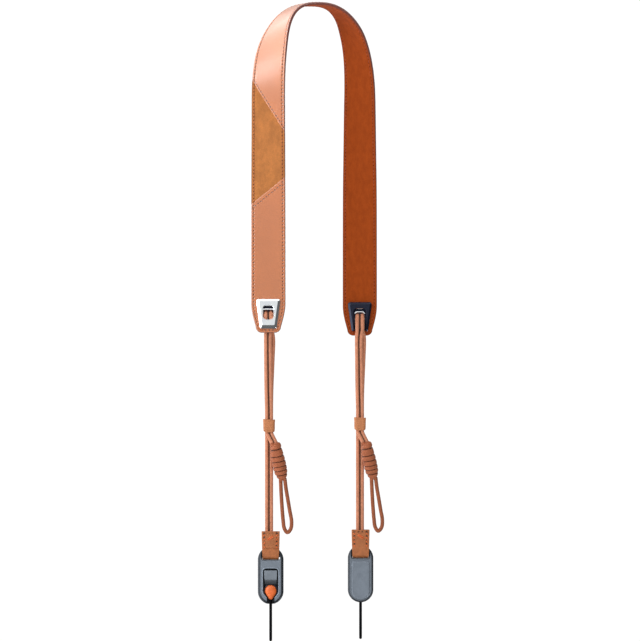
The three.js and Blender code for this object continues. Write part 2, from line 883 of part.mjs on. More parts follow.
sides.forEach((side) => {
  const name = (piece) => side.name + "_" + piece;
  const endGroup = placed(side, side.leg.x, side.leg.y, -side.end);
  addMesh(endGroup, name("front_plate"), geometryOf(frontPlate()), colours.silver, 0.3, 1);
  addMesh(endGroup, name("back_plate"), geometryOf(backPlate()), colours.gunmetal, 0.4, 0.8);
  addMesh(endGroup, name("anchor_pin"), anchorPin(), colours.steel, 0.4, 1);

  const middle = keeperMiddle(side);
  [-1, 1].forEach((pairSide, index) => {
    const points = cordPoints(side, pairSide);
    const geometry = tube(points, cord.diameter, cord.sides, tubeSteps.cord);
    addMesh(strap, name("cord_" + "ab"[index]), geometry, colours.cord, 0.55);
  });
  const loop = pullLoopWay.map((place) => sidePoint(side, place));
  const loopTube = tube(loop, cord.diameter, cord.sides, tubeSteps.cord);
  addMesh(strap, name("pull_loop"), loopTube, colours.cord, 0.55);

  const ring = addMesh(strap, name("keeper"), keeperRing(), colours.keeper, 0.55);
  ring.position.set(side.leg.x + side.cordShift + keeper.sideways, middle, side.keeperHeight);

  const top = sidePoint(side, knotTop);
  const bottom = sidePoint(side, knotBottom);
  const barrel = addMesh(strap, name("sliding_knot"), knotBarrel(), colours.cord, 0.55);
  const axis = new THREE.Vector3().subVectors(top, bottom).normalize();
  const centre = new THREE.Vector3().addVectors(top, bottom).multiplyScalar(0.5);
  barrel.quaternion.setFromUnitVectors(new THREE.Vector3(0, 1, 0), axis);
  barrel.position.copy(centre).addScaledVector(axis, -knot.length / 2);

  const hangX = side.leg.x + side.hang;
  const hangY = middle + cord.spacing / 2;
  const tabGroup = placed(side, hangX, hangY, 0);
  addMesh(tabGroup, name("tab"), foldedTab(), colours.tab, 0.6);
  const releaseGroup = placed(side, hangX, hangY, housing.top - housing.height);
  addMesh(releaseGroup, name("housing_back"), geometryOf(housingBack()), colours.housing, 0.5, 0.3);
  addMesh(releaseGroup, name("housing_cover"), geometryOf(housingCover()), colours.housing, 0.5, 0.3);
  addMesh(releaseGroup, name("release_tongue"), geometryOf(releaseTongue()), colours.tongue, 0.6);
  addMesh(releaseGroup, name("anchor_knob"), geometryOf(anchorKnob()), colours.knob, 0.5);
  const loopPoints = tetherWay.map(({ y, z }) => new THREE.Vector3(0, y, z));
  const tetherTube = tube(loopPoints, tether.diameter, tether.sides, tubeSteps.tether);
  addMesh(releaseGroup, name("tether"), tetherTube, colours.tether, 0.7);
});

export default strap;
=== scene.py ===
"""A camera neck strap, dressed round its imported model: leather band with its stitching, end plates,
adjusting cords with keepers, knots and pull loops, leather tabs and quick-release ends.
Metres, +Z up. The origin is the middle of the band's underside at the top of its arch."""

import bmesh
import bpy
import numpy as np
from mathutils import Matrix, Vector


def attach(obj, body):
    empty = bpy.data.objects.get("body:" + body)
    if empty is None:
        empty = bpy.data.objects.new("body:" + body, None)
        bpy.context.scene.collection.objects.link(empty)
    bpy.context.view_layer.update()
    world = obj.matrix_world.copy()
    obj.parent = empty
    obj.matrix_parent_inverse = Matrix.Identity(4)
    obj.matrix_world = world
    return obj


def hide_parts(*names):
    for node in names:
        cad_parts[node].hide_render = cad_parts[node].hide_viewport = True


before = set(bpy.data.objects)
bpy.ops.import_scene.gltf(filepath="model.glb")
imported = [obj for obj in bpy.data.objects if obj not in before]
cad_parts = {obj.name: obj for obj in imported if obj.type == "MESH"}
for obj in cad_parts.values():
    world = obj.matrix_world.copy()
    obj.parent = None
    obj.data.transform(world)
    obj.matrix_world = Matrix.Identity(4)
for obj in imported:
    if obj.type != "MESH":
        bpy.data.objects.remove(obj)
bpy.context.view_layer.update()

bl_info = {
    "name": "Camera neck strap",
    "version": (1, 0, 0),
    "blender": (4, 5, 0),
    "location": "View3D > Sidebar > Strap",
    "description": "Leather band, plates, cords and quick-release ends of a camera neck strap",
    "category": "Add Mesh",
}

SIDES = ("left", "right")

# What the strap's shape follows, in metres

BAND_WIDTH = 0.030
BAND_HALF_THICKNESS = 0.00135
LAYER_SEAM = 0.0001  # the two layers meet this far inwards of the band's middle
END_LENGTH = 0.026
END_WIDTH = 0.022
END_FLAT = 0.0114
CORNER_HEIGHT = 0.005
ARCH_HALF_SPAN = 0.040
ARCH_RISE = 0.085
SIDE_POWER = 2.66
TOP_POWER = 2.5
ARCH_STEPS = 352
LEG_STEPS = 120

# The band's turn in degrees on its way down: 0 to 1 over the arch, 1 to 2 over the straight stretch
TWIST_DOWN = np.array([0, 0.1, 0.28, 0.43, 0.59, 0.8, 1, 1.25, 1.5, 2])
TWIST = {
    "left": np.array([15, 25, 42, 55, 65, 73, 75.5, 78, 83, 90.0]),
    "right": np.array([15, 25, 40, 47, 53, 60, 64.5, 72, 82, 90.0]),
}
BAND_END = {"left": 0.2861, "right": 0.2887}
PLATE_TOP_ABOVE_END = 0.0294

# How far the seams of the suede panel lie below the origin, at the band's outside and inside edge
UPPER_SEAM = (0.066, 0.112)
LOWER_SEAM = (0.174, 0.150)
UPPER_LAP = 0.0017  # from a seam to the stitches beside it
LOWER_LAP = 0.0035
SUEDE_TUCK = 0.0008  # how far the suede runs on under the tan leather
SUEDE_BELOW_TAN = 0.00035
STRAP_HOLE = (0.0053, 0.004, 0.008, 0.0237)  # half width, half depth, low and high above the end
NEEDLE_HOLE = (0.0005, 0.0004, 0.00045)  # length, width and depth of the dip at a stitch
STITCH_GROOVE = (0.0006, 0.00012)  # width and depth
EDGE_POWER = 2.6  # of the superellipse that rounds the band's edge
LAYER_PITCH = 0.00052  # from row to row of a layer's grid

# Which way a side's plates, cords and quick release face, and where its cords and keeper lie
TURN = {"left": 1, "right": -1}
CORD_SHIFT = {"left": 0.0, "right": -0.0005}  # of the cords across from the leg's middle
HANG = {"left": 0.002, "right": 0.0006}  # of the quick release, likewise
KEEPER_HEIGHT = {"left": -0.3672, "right": -0.3662}
KEEPER_SIDEWAYS = 0.0006
CORD_SPACING = 0.0035
PIN_CORD_SPACING = 0.004
PIN_ABOVE_END = 0.0148
GROUP_INWARD = 0.0052  # from the leg's middle to the keeper's


def linear(red, green, blue):
    """A colour that is given as it shows on screen, 0 to 255, in scene values."""
    share = np.array([red, green, blue]) / 255
    return tuple(np.where(share < 0.04045, share / 12.92, ((share + 0.055) / 1.055) ** 2.4))


def colour_property(name, description, *shown):
    return bpy.props.FloatVectorProperty(
        name=name, description=description, subtype="COLOR", size=3, min=0, max=1, default=linear(*shown)
    )


def length_property(name, description, default):
    return bpy.props.FloatProperty(
        name=name, description=description, unit="LENGTH", precision=5, min=0, default=default
    )


class StrapSizes(bpy.types.PropertyGroup):
    """Sizes of the strap's finish"""

    stitch_pitch: length_property("Stitch pitch", "From one stitch of the band to the next", 0.0031)
    stitch_inset: length_property("Stitch inset", "From the band's edge to its stitches", 0.0023)
    thread_width: length_property("Thread width", "Thickness of the sewing thread", 0.00062)
    edge_radius: length_property("Edge radius", "Rounding of the painted edge of the band", 0.0008)
    cord_diameter: length_property("Cord diameter", "Thickness of the adjusting cord", 0.0036)
    tether_diameter: length_property("Tether diameter", "Thickness of the black tether cord", 0.0025)
    floor_height: length_property("Floor depth", "How far the floor lies below the origin", 0.75)
    view_distance: length_property("View distance", "From the camera to the strap", 5.5)


class StrapColours(bpy.types.PropertyGroup):
    """Colours of the strap's materials"""

    tan: colour_property("Tan leather", "Outer leather of the band", 198, 110, 50)
    suede: colour_property("Suede", "Panel on the left leg", 202, 126, 63)
    lining: colour_property("Lining", "Napped leather under the band", 165, 73, 27)
    edge: colour_property("Edge paint", "Painted edge of the band", 126, 74, 64)
    thread: colour_property("Thread", "Sewing thread of the band", 190, 112, 70)
    lining_thread: colour_property("Lining thread", "Sewing thread on the lining", 150, 62, 30)
    cord: colour_property("Cord", "Adjusting cords", 217, 145, 112)
    # The wound cord colour is the cord colour darkened as painted shade of the knots and pull loops.
    knot: colour_property("Wound cord", "Cord of the knots and pull loops", 178, 103, 70)
    keeper: colour_property("Keeper", "Leather ring on the cords", 207, 133, 86)
    tab: colour_property("Tab", "Leather tab of the quick release", 184, 110, 63)
    tab_thread: colour_property("Tab thread", "Stitches of the tab", 230, 112, 54)
    silver: colour_property("Bright plate", "Satin metal of the front plates", 244, 249, 255)
    gunmetal: colour_property("Dark plate", "Coated metal of the back plates", 30, 35, 53)
    steel: colour_property("Pin", "Steel of the anchor pins", 150, 152, 156)
    housing: colour_property("Housing", "Coated shell of the quick release", 127, 136, 147)
    tongue: colour_property("Tongue", "Release tongue", 131, 139, 148)
    knob: colour_property("Knob", "Anchor knob", 238, 114, 51)
    tether: colour_property("Tether", "Black tether cord", 4, 5, 9)


# Shader maths


class Value:
    """A number on its way through a node tree: sums, products and powers of it add Math nodes."""

    def __init__(self, nodes, socket):
        self.nodes = nodes
        self.socket = socket

    def math(self, operation, other=None):
        values = {0: self} if other is None else {0: self, 1: other}
        return self.nodes.node("ShaderNodeMath", {"operation": operation}, values)

    def __add__(self, other):
        return self.math("ADD", other)

    def __sub__(self, other):
        return self.math("SUBTRACT", other)

    def __rsub__(self, other):
        return self * -1.0 + other

    def __mul__(self, other):
        return self.math("MULTIPLY", other)

    def __truediv__(self, other):
        return self.math("DIVIDE", other)

    def __pow__(self, other):
        return self.math("POWER", other)

    __radd__ = __add__
    __rmul__ = __mul__

    def ramp(self, low, high):
        """0 below low, 1 above high, and a smooth step between; low may be the larger."""
        sockets = {"Value": self, "From Min": low, "From Max": high}
        return self.nodes.node("ShaderNodeMapRange", {"interpolation_type": "SMOOTHSTEP"}, sockets)


class Nodes:
    """The node tree of a material or a world."""

    def __init__(self, owner):
        owner.use_nodes = True
        self.tree = owner.node_tree

    def node(self, kind, settings=None, sockets=None, output=0):
        """A new node: its settings first, then the values or links of its sockets."""
        made = self.tree.nodes.new(kind)
        for name, setting in (settings or {}).items():
            setattr(made, name, setting)
        for key, value in (sockets or {}).items():
            self.feed(made.inputs[key], value)
        return Value(self, made.outputs[output])

    def feed(self, socket, value):
        if isinstance(value, Value):
            self.tree.links.new(value.socket, socket)
        else:
            socket.default_value = value


class Finish(Nodes):
    """A material made of one Principled shader and what feeds it. Its colour is built up step by step
    from shades of its base colour."""

    def __init__(self, name, base):
        self.material = bpy.data.materials.new(name)
        super().__init__(self.material)
        self.shader = self.tree.nodes["Principled BSDF"]
        self.place = self.node("ShaderNodeTexCoord", output="Object")
        self.base = base
        self.colour = shade(base, 1)

    def done(self, **values):
        """Sets the colour and other sockets of the shader, whose names are written with underscores."""
        for name, value in {"base_color": self.colour, **values}.items():
            self.feed(self.shader.inputs[name.replace("_", " ").title().replace("Ior", "IOR")], value)
        return self.material

    def map(self, name):
        """The two numbers of one of the piece's own UV maps, in metres."""
        uv = self.node("ShaderNodeUVMap", {"uv_map": name})
        return [self.node("ShaderNodeSeparateXYZ", {}, {0: uv}, axis) for axis in ("X", "Y")]

    def noise(self, size, detail=3.0, roughness=0.5, scale=(1.0, 1.0, 1.0)):
        """Soft blotches about as large as size, from 0 to 1, drawn out where the scale is small."""
        place = self.node("ShaderNodeMapping", {}, {"Vector": self.place, "Scale": scale})
        sockets = {"Vector": place, "Scale": 1 / size, "Detail": detail, "Roughness": roughness}
        return self.node("ShaderNodeTexNoise", {}, sockets)

    def cells(self, size):
        """Pebbles of about that size: the distance from the middle of each."""
        return self.node("ShaderNodeTexVoronoi", {}, {"Vector": self.place, "Scale": 1 / size})

    def mix(self, share, first, second):
        return self.node("ShaderNodeMix", {"data_type": "RGBA"}, {0: share, 6: first, 7: second}, 2)

    def between(self, share, low, high):
        """Starts the colour: from the base times low to the base times high."""
        self.colour = self.mix(share, shade(self.base, low), shade(self.base, high))
        return self

    def tone(self, mask, amount, factor):
        """Where the mask says, takes the colour by that amount towards the base times the factor."""
        self.colour = self.mix(mask * amount, self.colour, shade(self.base, factor))
        return self

    def bump(self, height, distance, strength):
        sockets = {"Height": height, "Distance": distance, "Strength": strength}
        return self.node("ShaderNodeBump", {}, sockets)


def shade(colour, factor):
    """A colour made darker or lighter, with its alpha."""
    return (*(min(1.0, channel * factor) for channel in colour[:3]), 1.0)


# Meshes


def add_object(name, data):
    made = bpy.data.objects.new(name, data)
    bpy.context.scene.collection.objects.link(made)
    return made


class Shell:
    """Grids that are gathered into one mesh, each with its UV maps."""

    def __init__(self):
        self.points = []
        self.faces = []
        self.corners = {}
        self.count = 0

    def grid(self, points, ring=False, maps=None):
        """Adds a grid of points whose rows are closed loops. Its first and last row are capped, or
        joined to each other in a ring."""
        rows, columns = points.shape[:2]
        row, column = np.meshgrid(np.arange(rows if ring else rows - 1), np.arange(columns), indexing="ij")
        row = row.ravel()[:, None] + np.array([[0, 0, 1, 1]])
        column = column.ravel()[:, None] + np.array([[0, 1, 1, 0]])
        self.faces += ((row % rows) * columns + column % columns + self.count).tolist()
        if not ring:
            first = np.arange(columns) + self.count
            self.faces += [first[::-1].tolist(), (first + (rows - 1) * columns).tolist()]
        for name, values in (maps or {}).items():
            corners = [values[row, column].reshape(-1, 2), values[0, :columns][::-1], values[-1, :columns]]
            self.corners.setdefault(name, []).extend(corners[:1] if ring else corners)
        self.points.append(points.reshape(-1, 3))
        self.count += rows * columns
        return self

    def mesh(self, name):
        """One mesh of all the grids, its faces turned outwards."""
        mesh = bpy.data.meshes.new(name)
        mesh.from_pydata(np.concatenate(self.points).tolist(), [], self.faces)
        for map_name, parts in self.corners.items():
            layer = mesh.uv_layers.new(name=map_name)
            layer.data.foreach_set("uv", np.concatenate(parts).astype(np.float32).ravel())
        work = bmesh.new()
        work.from_mesh(mesh)
        bmesh.ops.recalc_face_normals(work, faces=work.faces)
        work.to_mesh(mesh)
        work.free()
        return mesh

    def piece(self, name, material, slot, body="strap"):
        """A smooth piece that moves with its body."""
        mesh = self.mesh(name)
        mesh.shade_smooth()
        mesh.materials.append(material)
        piece = add_object(name, mesh)
        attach(piece, body)
        return piece

    def dress(self, node, material, slot, body="strap"):
        """A piece that is shown in place of a CAD node."""
        piece = self.piece(f"{node}_dressed", material, slot, body)
        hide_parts(node)
        return piece


def cut(piece, mesh):
    """Cuts a closed mesh out of a closed piece."""
    cutter = add_object("cutter", mesh)
    modifier = piece.modifiers.new("cut", "BOOLEAN")
    modifier.operation = "DIFFERENCE"
    modifier.solver = "EXACT"
    modifier.object = cutter
    bpy.context.view_layer.update()
    evaluated = piece.evaluated_get(bpy.context.evaluated_depsgraph_get())
    mesh = bpy.data.meshes.new_from_object(evaluated)
    piece.modifiers.clear()
    piece.data = mesh
    bpy.data.objects.remove(cutter)


def joined(piece, mesh):
    """Adds another closed mesh to a piece."""
    work = bmesh.new()
    work.from_mesh(mesh)
    bmesh.ops.recalc_face_normals(work, faces=work.faces)
    work.from_mesh(piece.data)
    work.to_mesh(piece.data)
    work.free()
    bpy.data.meshes.remove(mesh)


def crisp(piece, degrees=38):
    """Keeps edges sharper than the angle sharp and the rest smooth."""
    piece.data.shade_smooth()
    piece.data.set_sharp_from_angle(angle=np.radians(degrees))


def put(place, across, depth, height):
    """Places given across, backwards and upwards from a side's plates or quick release, in space."""
    across, depth, height = np.broadcast_arrays(across, depth, height)
    x, y = place["centre"]
    return np.stack([x + place["turn"] * across, y + place["turn"] * depth, place["lift"] + height], -1)


def put_rows(place, rows):
    """Flat outlines, each with its depth, as a grid in space."""
    return np.array([put(place, flat[:, 0], depth, flat[:, 1]) for flat, depth in rows])


# The band's path and flat pattern


def smooth_table(at, places, values):
    """A cubic through each row of a table, whose slope there is that between its neighbours."""
    index = np.clip(np.searchsorted(places, at) - 1, 0, len(places) - 2)
    before = np.maximum(np.arange(len(places)) - 1, 0)
    after = np.minimum(np.arange(len(places)) + 1, len(places) - 1)
    slopes = (values[after] - values[before]) / (places[after] - places[before])
    run = places[index + 1] - places[index]
    t = np.clip((at - places[index]) / run, 0, 1)
    keep = 2 * t**3 - 3 * t**2 + 1
    return (
        keep * values[index]
        + (t**3 - 2 * t**2 + t) * run * slopes[index]
        + (1 - keep) * values[index + 1]
        + (t**3 - t**2) * run * slopes[index + 1]
    )


def side_path(side):
    """Places along the band's middle from the arch's top to one end: x and y out from the top, the
    drop, and the turn. The arch is a superellipse, and its lean adds up the steps in x times the
    tangent of the turn."""
    full_drop = BAND_END[side] + BAND_HALF_THICKNESS
    straight = full_drop - PLATE_TOP_ABOVE_END - ARCH_RISE
    angle = (np.pi / 2) * np.linspace(0, 1, ARCH_STEPS + 1) ** (SIDE_POWER / 2)
    x = ARCH_HALF_SPAN * np.sin(angle) ** (2 / SIDE_POWER)
    drop = ARCH_RISE * (1 - np.maximum(0, np.cos(angle)) ** (2 / TOP_POWER))
    turn = np.radians(smooth_table(drop / ARCH_RISE, TWIST_DOWN, TWIST[side]))
    y = np.concatenate([[0], np.cumsum(np.diff(x) * np.tan(turn[1:]))])
    leg_drop = np.linspace(ARCH_RISE, full_drop, LEG_STEPS)[1:]
    down = np.minimum(2, 1 + (leg_drop - ARCH_RISE) / straight)
    leg_turn = np.radians(smooth_table(down, TWIST_DOWN, TWIST[side]))
    x = np.concatenate([x, np.full(len(leg_drop), x[-1])])
    y = np.concatenate([y, np.full(len(leg_drop), y[-1])])
    return x, y, np.concatenate([drop, leg_drop]), np.concatenate([turn, leg_turn])


def run_of(path):
    """How far along a path each of its places lies."""
    return np.concatenate([[0], np.cumsum(np.linalg.norm(np.diff(path, axis=0), axis=1))])


class Band:
    """The band's middle surface. Places on it are lengths along it from the left end, and across it
    from its middle; a height is measured out of it."""

    def __init__(self):
        centres, turns = [], []
        for side, order in (("left", -1), ("right", 1)):
            x, y, drop, turn = side_path(side)
            centre = np.stack([-TURN[side] * x, -TURN[side] * y, BAND_HALF_THICKNESS - drop], 1)
            centres.append(centre[::order][: None if side == "right" else -1])
            turns.append(turn[::order][: None if side == "right" else -1])
            setattr(self, side + "_leg", centre[-1])
        self.centre = np.concatenate(centres)
        turn = np.concatenate(turns)
        self.along = run_of(self.centre)
        self.length = self.along[-1]
        self.across = np.stack([-np.sin(turn), np.cos(turn), 0 * turn], 1)
        tangent = np.gradient(self.centre, self.along, axis=0)
        out = np.cross(tangent, self.across)
        self.outward = out / np.linalg.norm(out, axis=1, keepdims=True)
        self.top = self.along[np.argmax(self.centre[:, 2])]

    def at_drop(self, drop):
        """The length along the left leg at which the band is that far below the origin."""
        height = self.centre[:, 2]
        left = self.along <= self.top
        return np.interp(-np.asarray(drop), height[left], self.along[left])

    def half_width(self, along):
        """Half the width: a flat edge, a rounded corner and a taper at each end."""
        from_end = np.minimum(along, self.length - along)
        rise = 1 - np.clip(from_end / CORNER_HEIGHT, 0, 1)
        corner = END_FLAT / 2 + (END_WIDTH - END_FLAT) / 2 * np.sqrt(1 - rise**2)
        share = np.clip((from_end - CORNER_HEIGHT) / (END_LENGTH - CORNER_HEIGHT), 0, 1)
        taper = END_WIDTH / 2 + (BAND_WIDTH - END_WIDTH) / 2 * share * (1.5 - 0.5 * share**2)
        return np.where(from_end < CORNER_HEIGHT, corner, taper)

    def outline(self, count=6000):
        """The edge of the flat pattern as one loop, denser at the ends: along and across."""
        share = (1 - np.cos(np.linspace(0, np.pi, count))) / 2
        along = self.length * share
        width = self.half_width(along)
        loop_along = np.concatenate([along, along[::-1]])
        loop_across = np.concatenate([-width, width[::-1]])
        return np.stack([loop_along, loop_across], 1)

    def point(self, along, across, height):
        """A place on the band in space: the middle, moved across and out of the surface."""
        def pick(rows):
            return np.stack([np.interp(along, self.along, rows[:, axis]) for axis in range(3)], -1)

        middle = pick(self.centre) + pick(self.across) * across[..., None]
        return middle + pick(self.outward) * height[..., None]


band = Band()
LEG = {"left": band.left_leg, "right": band.right_leg}


def edge_distance(along, across):
    """Distance from places on the flat pattern to its edge, and how far round the edge the nearest
    place on it lies. Away from the ends it is the half width less the distance from the middle."""
    loop = band.outline()
    closed = np.concatenate([loop, loop[:1]])
    round_edge = run_of(closed)
    flat_along, flat_across = along.ravel(), across.ravel()
    distance = band.half_width(flat_along) - np.abs(flat_across)
    lower = loop[:, 1] < 0
    low_edge = np.interp(flat_along, loop[lower, 0], round_edge[:-1][lower])
    high_edge = np.interp(flat_along, loop[~lower, 0][::-1], round_edge[:-1][~lower][::-1])
    place = np.where(flat_across < 0, low_edge, high_edge)
    near_end = np.minimum(flat_along, band.length - flat_along) < END_LENGTH + 0.004
    ends = np.nonzero(near_end)[0]
    start, step = closed[:-1], np.diff(closed, axis=0)
    close_loop = np.minimum(start[:, 0], band.length - start[:, 0]) < END_LENGTH + 0.008
    start, step, base = start[close_loop], step[close_loop], round_edge[:-1][close_loop]
    size = np.linalg.norm(step, axis=1)
    keep = size > 1e-9
    start, step, base, size = start[keep], step[keep], base[keep], size[keep]
    for chunk in np.array_split(ends, max(1, len(ends) // 400)):
        here = np.stack([flat_along[chunk], flat_across[chunk]], 1)[:, None]
        share = np.clip(((here - start) * step).sum(-1) / size**2, 0, 1)
        gap = np.linalg.norm(here - start - share[..., None] * step, axis=-1)
        nearest = gap.argmin(1)
        rows = np.arange(len(chunk))
        distance[chunk] = gap[rows, nearest]
        place[chunk] = base[nearest] + share[rows, nearest] * size[nearest]
    return distance.reshape(along.shape), place.reshape(along.shape)


def stitch_positions(sizes):
    """The stitches round the band: the middle of each and its direction on the flat pattern, along
    a loop that lies inside the edge by the inset, and the exact pitch that closes the loop."""
    loop = band.outline()
    step = np.roll(loop, -1, 0) - np.roll(loop, 1, 0)
    step /= np.linalg.norm(step, axis=1, keepdims=True) + 1e-12
    inner = loop + np.stack([-step[:, 1], step[:, 0]], 1) * sizes.stitch_inset
    closed = np.concatenate([loop, loop[:1]])
    round_edge = run_of(closed)
    count = round(round_edge[-1] / sizes.stitch_pitch)
    pitch = round_edge[-1] / count
    place = np.arange(count) * pitch
    inner_closed = np.concatenate([inner, inner[:1]])
    step_closed = np.concatenate([step, step[:1]])
    middle = np.stack([np.interp(place, round_edge, inner_closed[:, axis]) for axis in (0, 1)], 1)
    course = np.stack([np.interp(place, round_edge, step_closed[:, axis]) for axis in (0, 1)], 1)
    return middle, course / np.linalg.norm(course, axis=1, keepdims=True), pitch


# From the edge inwards: dense on the rounding and round the stitches
EDGE_STEPS = np.array([
    0, 0.02, 0.06, 0.12, 0.2, 0.32, 0.48, 0.68, 0.95, 1.3, 1.65, 1.95,
    2.15, 2.3, 2.45, 2.65, 2.95, 3.4, 4.2, 5.6, 7.6, 10, 12.5,
]) / 1000


def layer_grid(low, high):
    """Places on the flat pattern between two seams, each given as its length along the band at the
    lower and at the upper edge: dense near the seams, the edges and the ends."""
    half = BAND_WIDTH / 2
    columns = np.concatenate([EDGE_STEPS - half, [0], half - EDGE_STEPS[::-1]]) / half
    span = max(high) - min(low)
    inner = EDGE_STEPS[EDGE_STEPS < 0.004]
    count = int((span - 2 * inner[-1]) / LAYER_PITCH)
    middle = np.linspace(inner[-1], span - inner[-1], count)[1:-1]
    share = np.concatenate([inner, middle, span - inner[::-1]]) / span
    row, column = np.meshgrid(share, columns, indexing="ij")
    start = low[0] + (low[1] - low[0]) * (column + 1) / 2
    stop = high[0] + (high[1] - high[0]) * (column + 1) / 2
    along = np.clip(start + row * (stop - start), 0, band.length)
    return along, band.half_width(along) * column


def seam_distance(along, across, seam):
    """How far a place lies from a straight seam across the band, and how far along the seam."""
    run = np.array([seam[1] - seam[0], BAND_WIDTH])
    run = run / np.linalg.norm(run)
    offset_along = along - (seam[0] + seam[1]) / 2
    return np.abs(offset_along * run[1] - across * run[0]), offset_along * run[0] + across * run[1]


def leather_layer(node, low, high, thickness, outwards, material, slot, seams=()):
    """One layer of the band as a closed shell. The face stands out by a quarter superellipse of the
    distance from its edge, so that the edge is rounded and the middle flat, and dips into each
    stitch hole. seams are the slanted edges that are rounded too."""
    sizes = bpy.context.scene.strap_sizes
    along, across = layer_grid(low, high)
    distance, place = edge_distance(along, across)
    pitch = stitch_positions(sizes)[2]
    nearest_seam = np.full(along.shape, 1.0)
    along_seam = np.zeros(along.shape)
    for seam in seams:
        gap, run = seam_distance(along, across, seam)
        along_seam = np.where(gap < nearest_seam, run, along_seam)
        nearest_seam = np.minimum(gap, nearest_seam)
    rounded = np.minimum(distance, nearest_seam)
    share = np.clip(rounded / sizes.edge_radius, 0, 1)
    rise = thickness * (1 - (1 - share) ** EDGE_POWER) ** (1 / EDGE_POWER)
    to_hole = ((place / pitch) % 1 - 0.5) * pitch
    off_line = distance - sizes.stitch_inset
    hole_length, hole_width, hole_depth = NEEDLE_HOLE
    groove_width, groove_depth = STITCH_GROOVE
    hole = np.exp(-((to_hole / hole_length) ** 2) - (off_line / hole_width) ** 2)
    groove = np.exp(-((off_line / groove_width) ** 2))
    rise = rise - hole_depth * hole - groove_depth * groove
    height = outwards * np.maximum(rise, 0.00002) - LAYER_SEAM
    under = np.arange(along.shape[1])[-2:0:-5]
    ring = np.concatenate([np.arange(along.shape[1]), under])
    height = np.concatenate([height, np.full((len(along), len(under)), -LAYER_SEAM)], 1)
    points = band.point(along[:, ring], across[:, ring], height)
    closed = np.append(ring, 0)
    maps = {
        "Seam": np.stack([place, distance], -1)[:, closed],
        "Lap": np.stack([along_seam, nearest_seam], -1)[:, closed],
    }
    return Shell().grid(points, maps=maps).dress(node, material, slot)


def thread_run(shell, middle, course, length, width, height, outwards, slant=0.16):
    """Short arched threads, one for each stitch: an ellipse carried along a low arch from hole to
    hole, sinking at both ends."""
    run = np.linspace(-0.5, 0.5, 7)
    lift = height + outwards * width * (0.12 - 0.7 * (2 * np.abs(run)) ** 2.4)
    thick = width / 2 * np.sqrt(np.clip(1 - (1.86 * run) ** 6, 0.05, 1))
    angle = np.arange(8) / 8 * 2 * np.pi
    sideways = np.stack([-course[:, 1], course[:, 0]], 1)
    course = course + slant * sideways
    place = middle[:, None] + course[:, None] * (run * length)[None, :, None]
    ring = thick[:, None] * np.cos(angle)[None]
    flat = place[:, :, None] + sideways[:, None, None] * ring[None, :, :, None]
    rise = lift[:, None] + 0.85 * thick[:, None] * np.sin(angle)[None]
    rise = np.broadcast_to(rise, flat.shape[:3])
    points = band.point(flat[..., 0], flat[..., 1], rise)
    for one in points:
        shell.grid(one)
    return shell


def oval(place, across, pitch, length, width):
    """A row of leaning ovals along a line: 1 inside each, 0 outside."""
    along = ((place / pitch).math("FRACT") - 0.5) * pitch
    leaning = along + across * 0.5
    reach = ((leaning / length).math("ABSOLUTE") ** 2.0 + (across / width).math("ABSOLUTE") ** 2.0) ** 0.5
    return reach.ramp(1.25, 0.55)


class BandFinish(Finish):
    """A finish of the band, with painted shade in its stitch holes and its burnished and painted edge."""

    def __init__(self, name, base, hole_length=0.00085, hole_width=0.00062):
        super().__init__(name, base)
        sizes = bpy.context.scene.strap_sizes
        self.pitch = stitch_positions(sizes)[2]
        place, self.inwards = self.map("Seam")
        self.hole = oval(place, self.inwards - sizes.stitch_inset, self.pitch, hole_length, hole_width)

    def burnished(self, amount, factor):
        return self.tone(self.inwards.ramp(0.0016, 0.0004), amount, factor)

    def hole_shade_and_edge_paint(self, amount, factor):
        # painted shade: the stitch holes darkened towards the base times the factor
        self.tone(self.hole, amount, factor)
        paint = (*bpy.context.scene.strap_colours.edge, 1)
        self.colour = self.mix(self.inwards.ramp(0.00052, 0.00036), self.colour, paint)


def outer_leather_material(name, lap_inset):
    """Smooth leather under a clear coat: wide soft clouding, a fine mottle in the grain's size, and
    the stitches, with painted shade in their holes, and the cut edge beside a seam."""
    grain = 0.0008
    finish = BandFinish(name, bpy.context.scene.strap_colours.tan)
    finish.between(finish.noise(0.03, 2.0).ramp(0.3, 0.7), 0.93, 1.05)
    finish.tone(finish.noise(grain, 4.0, 0.6).ramp(0.25, 0.75), 0.35, 0.82)
    finish.burnished(0.35, 0.62)
    lap_place, lap_distance = finish.map("Lap")
    finish.tone(lap_distance.ramp(0.0006, 0.0002), 0.7, 0.5)
    lap_hole = oval(lap_place, lap_distance - lap_inset, finish.pitch, 0.0008, 0.0006)
    finish.hole = finish.hole.math("MAXIMUM", lap_hole)
    finish.hole_shade_and_edge_paint(0.92, 0.12)
    pebbles = finish.cells(grain).ramp(0.1, 0.75)
    height = pebbles * 0.6 + finish.noise(grain * 0.4, 3.0, 0.6) * 0.5 - finish.hole * 2.0
    return finish.done(
        roughness=0.4 + pebbles * 0.1, normal=finish.bump(height, 0.00012, 0.55),
        specular_ior_level=1.0, coat_weight=1.0, coat_roughness=0.3,
    )


def suede_material():
    """Suede brushed along the band, with a coarse speckle and deep fibres."""
    finish = BandFinish("suede", bpy.context.scene.strap_colours.suede)
    brushed = finish.noise(0.006, 5.0, 0.68, (1.0, 1.0, 0.6)).ramp(0.3, 0.72)
    finish.between(brushed, 0.78, 1.14)
    finish.tone(finish.noise(0.0009, 4.0, 0.7).ramp(0.3, 0.7), 0.45, 0.66)
    finish.burnished(0.3, 0.6).hole_shade_and_edge_paint(0.9, 0.14)
    height = finish.noise(0.0005, 6.0, 0.75) + brushed * 0.4
    return finish.done(
        roughness=0.95, normal=finish.bump(height, 0.0004, 0.8),
        sheen_weight=0.35, sheen_roughness=0.6, specular_ior_level=0.15,
    )


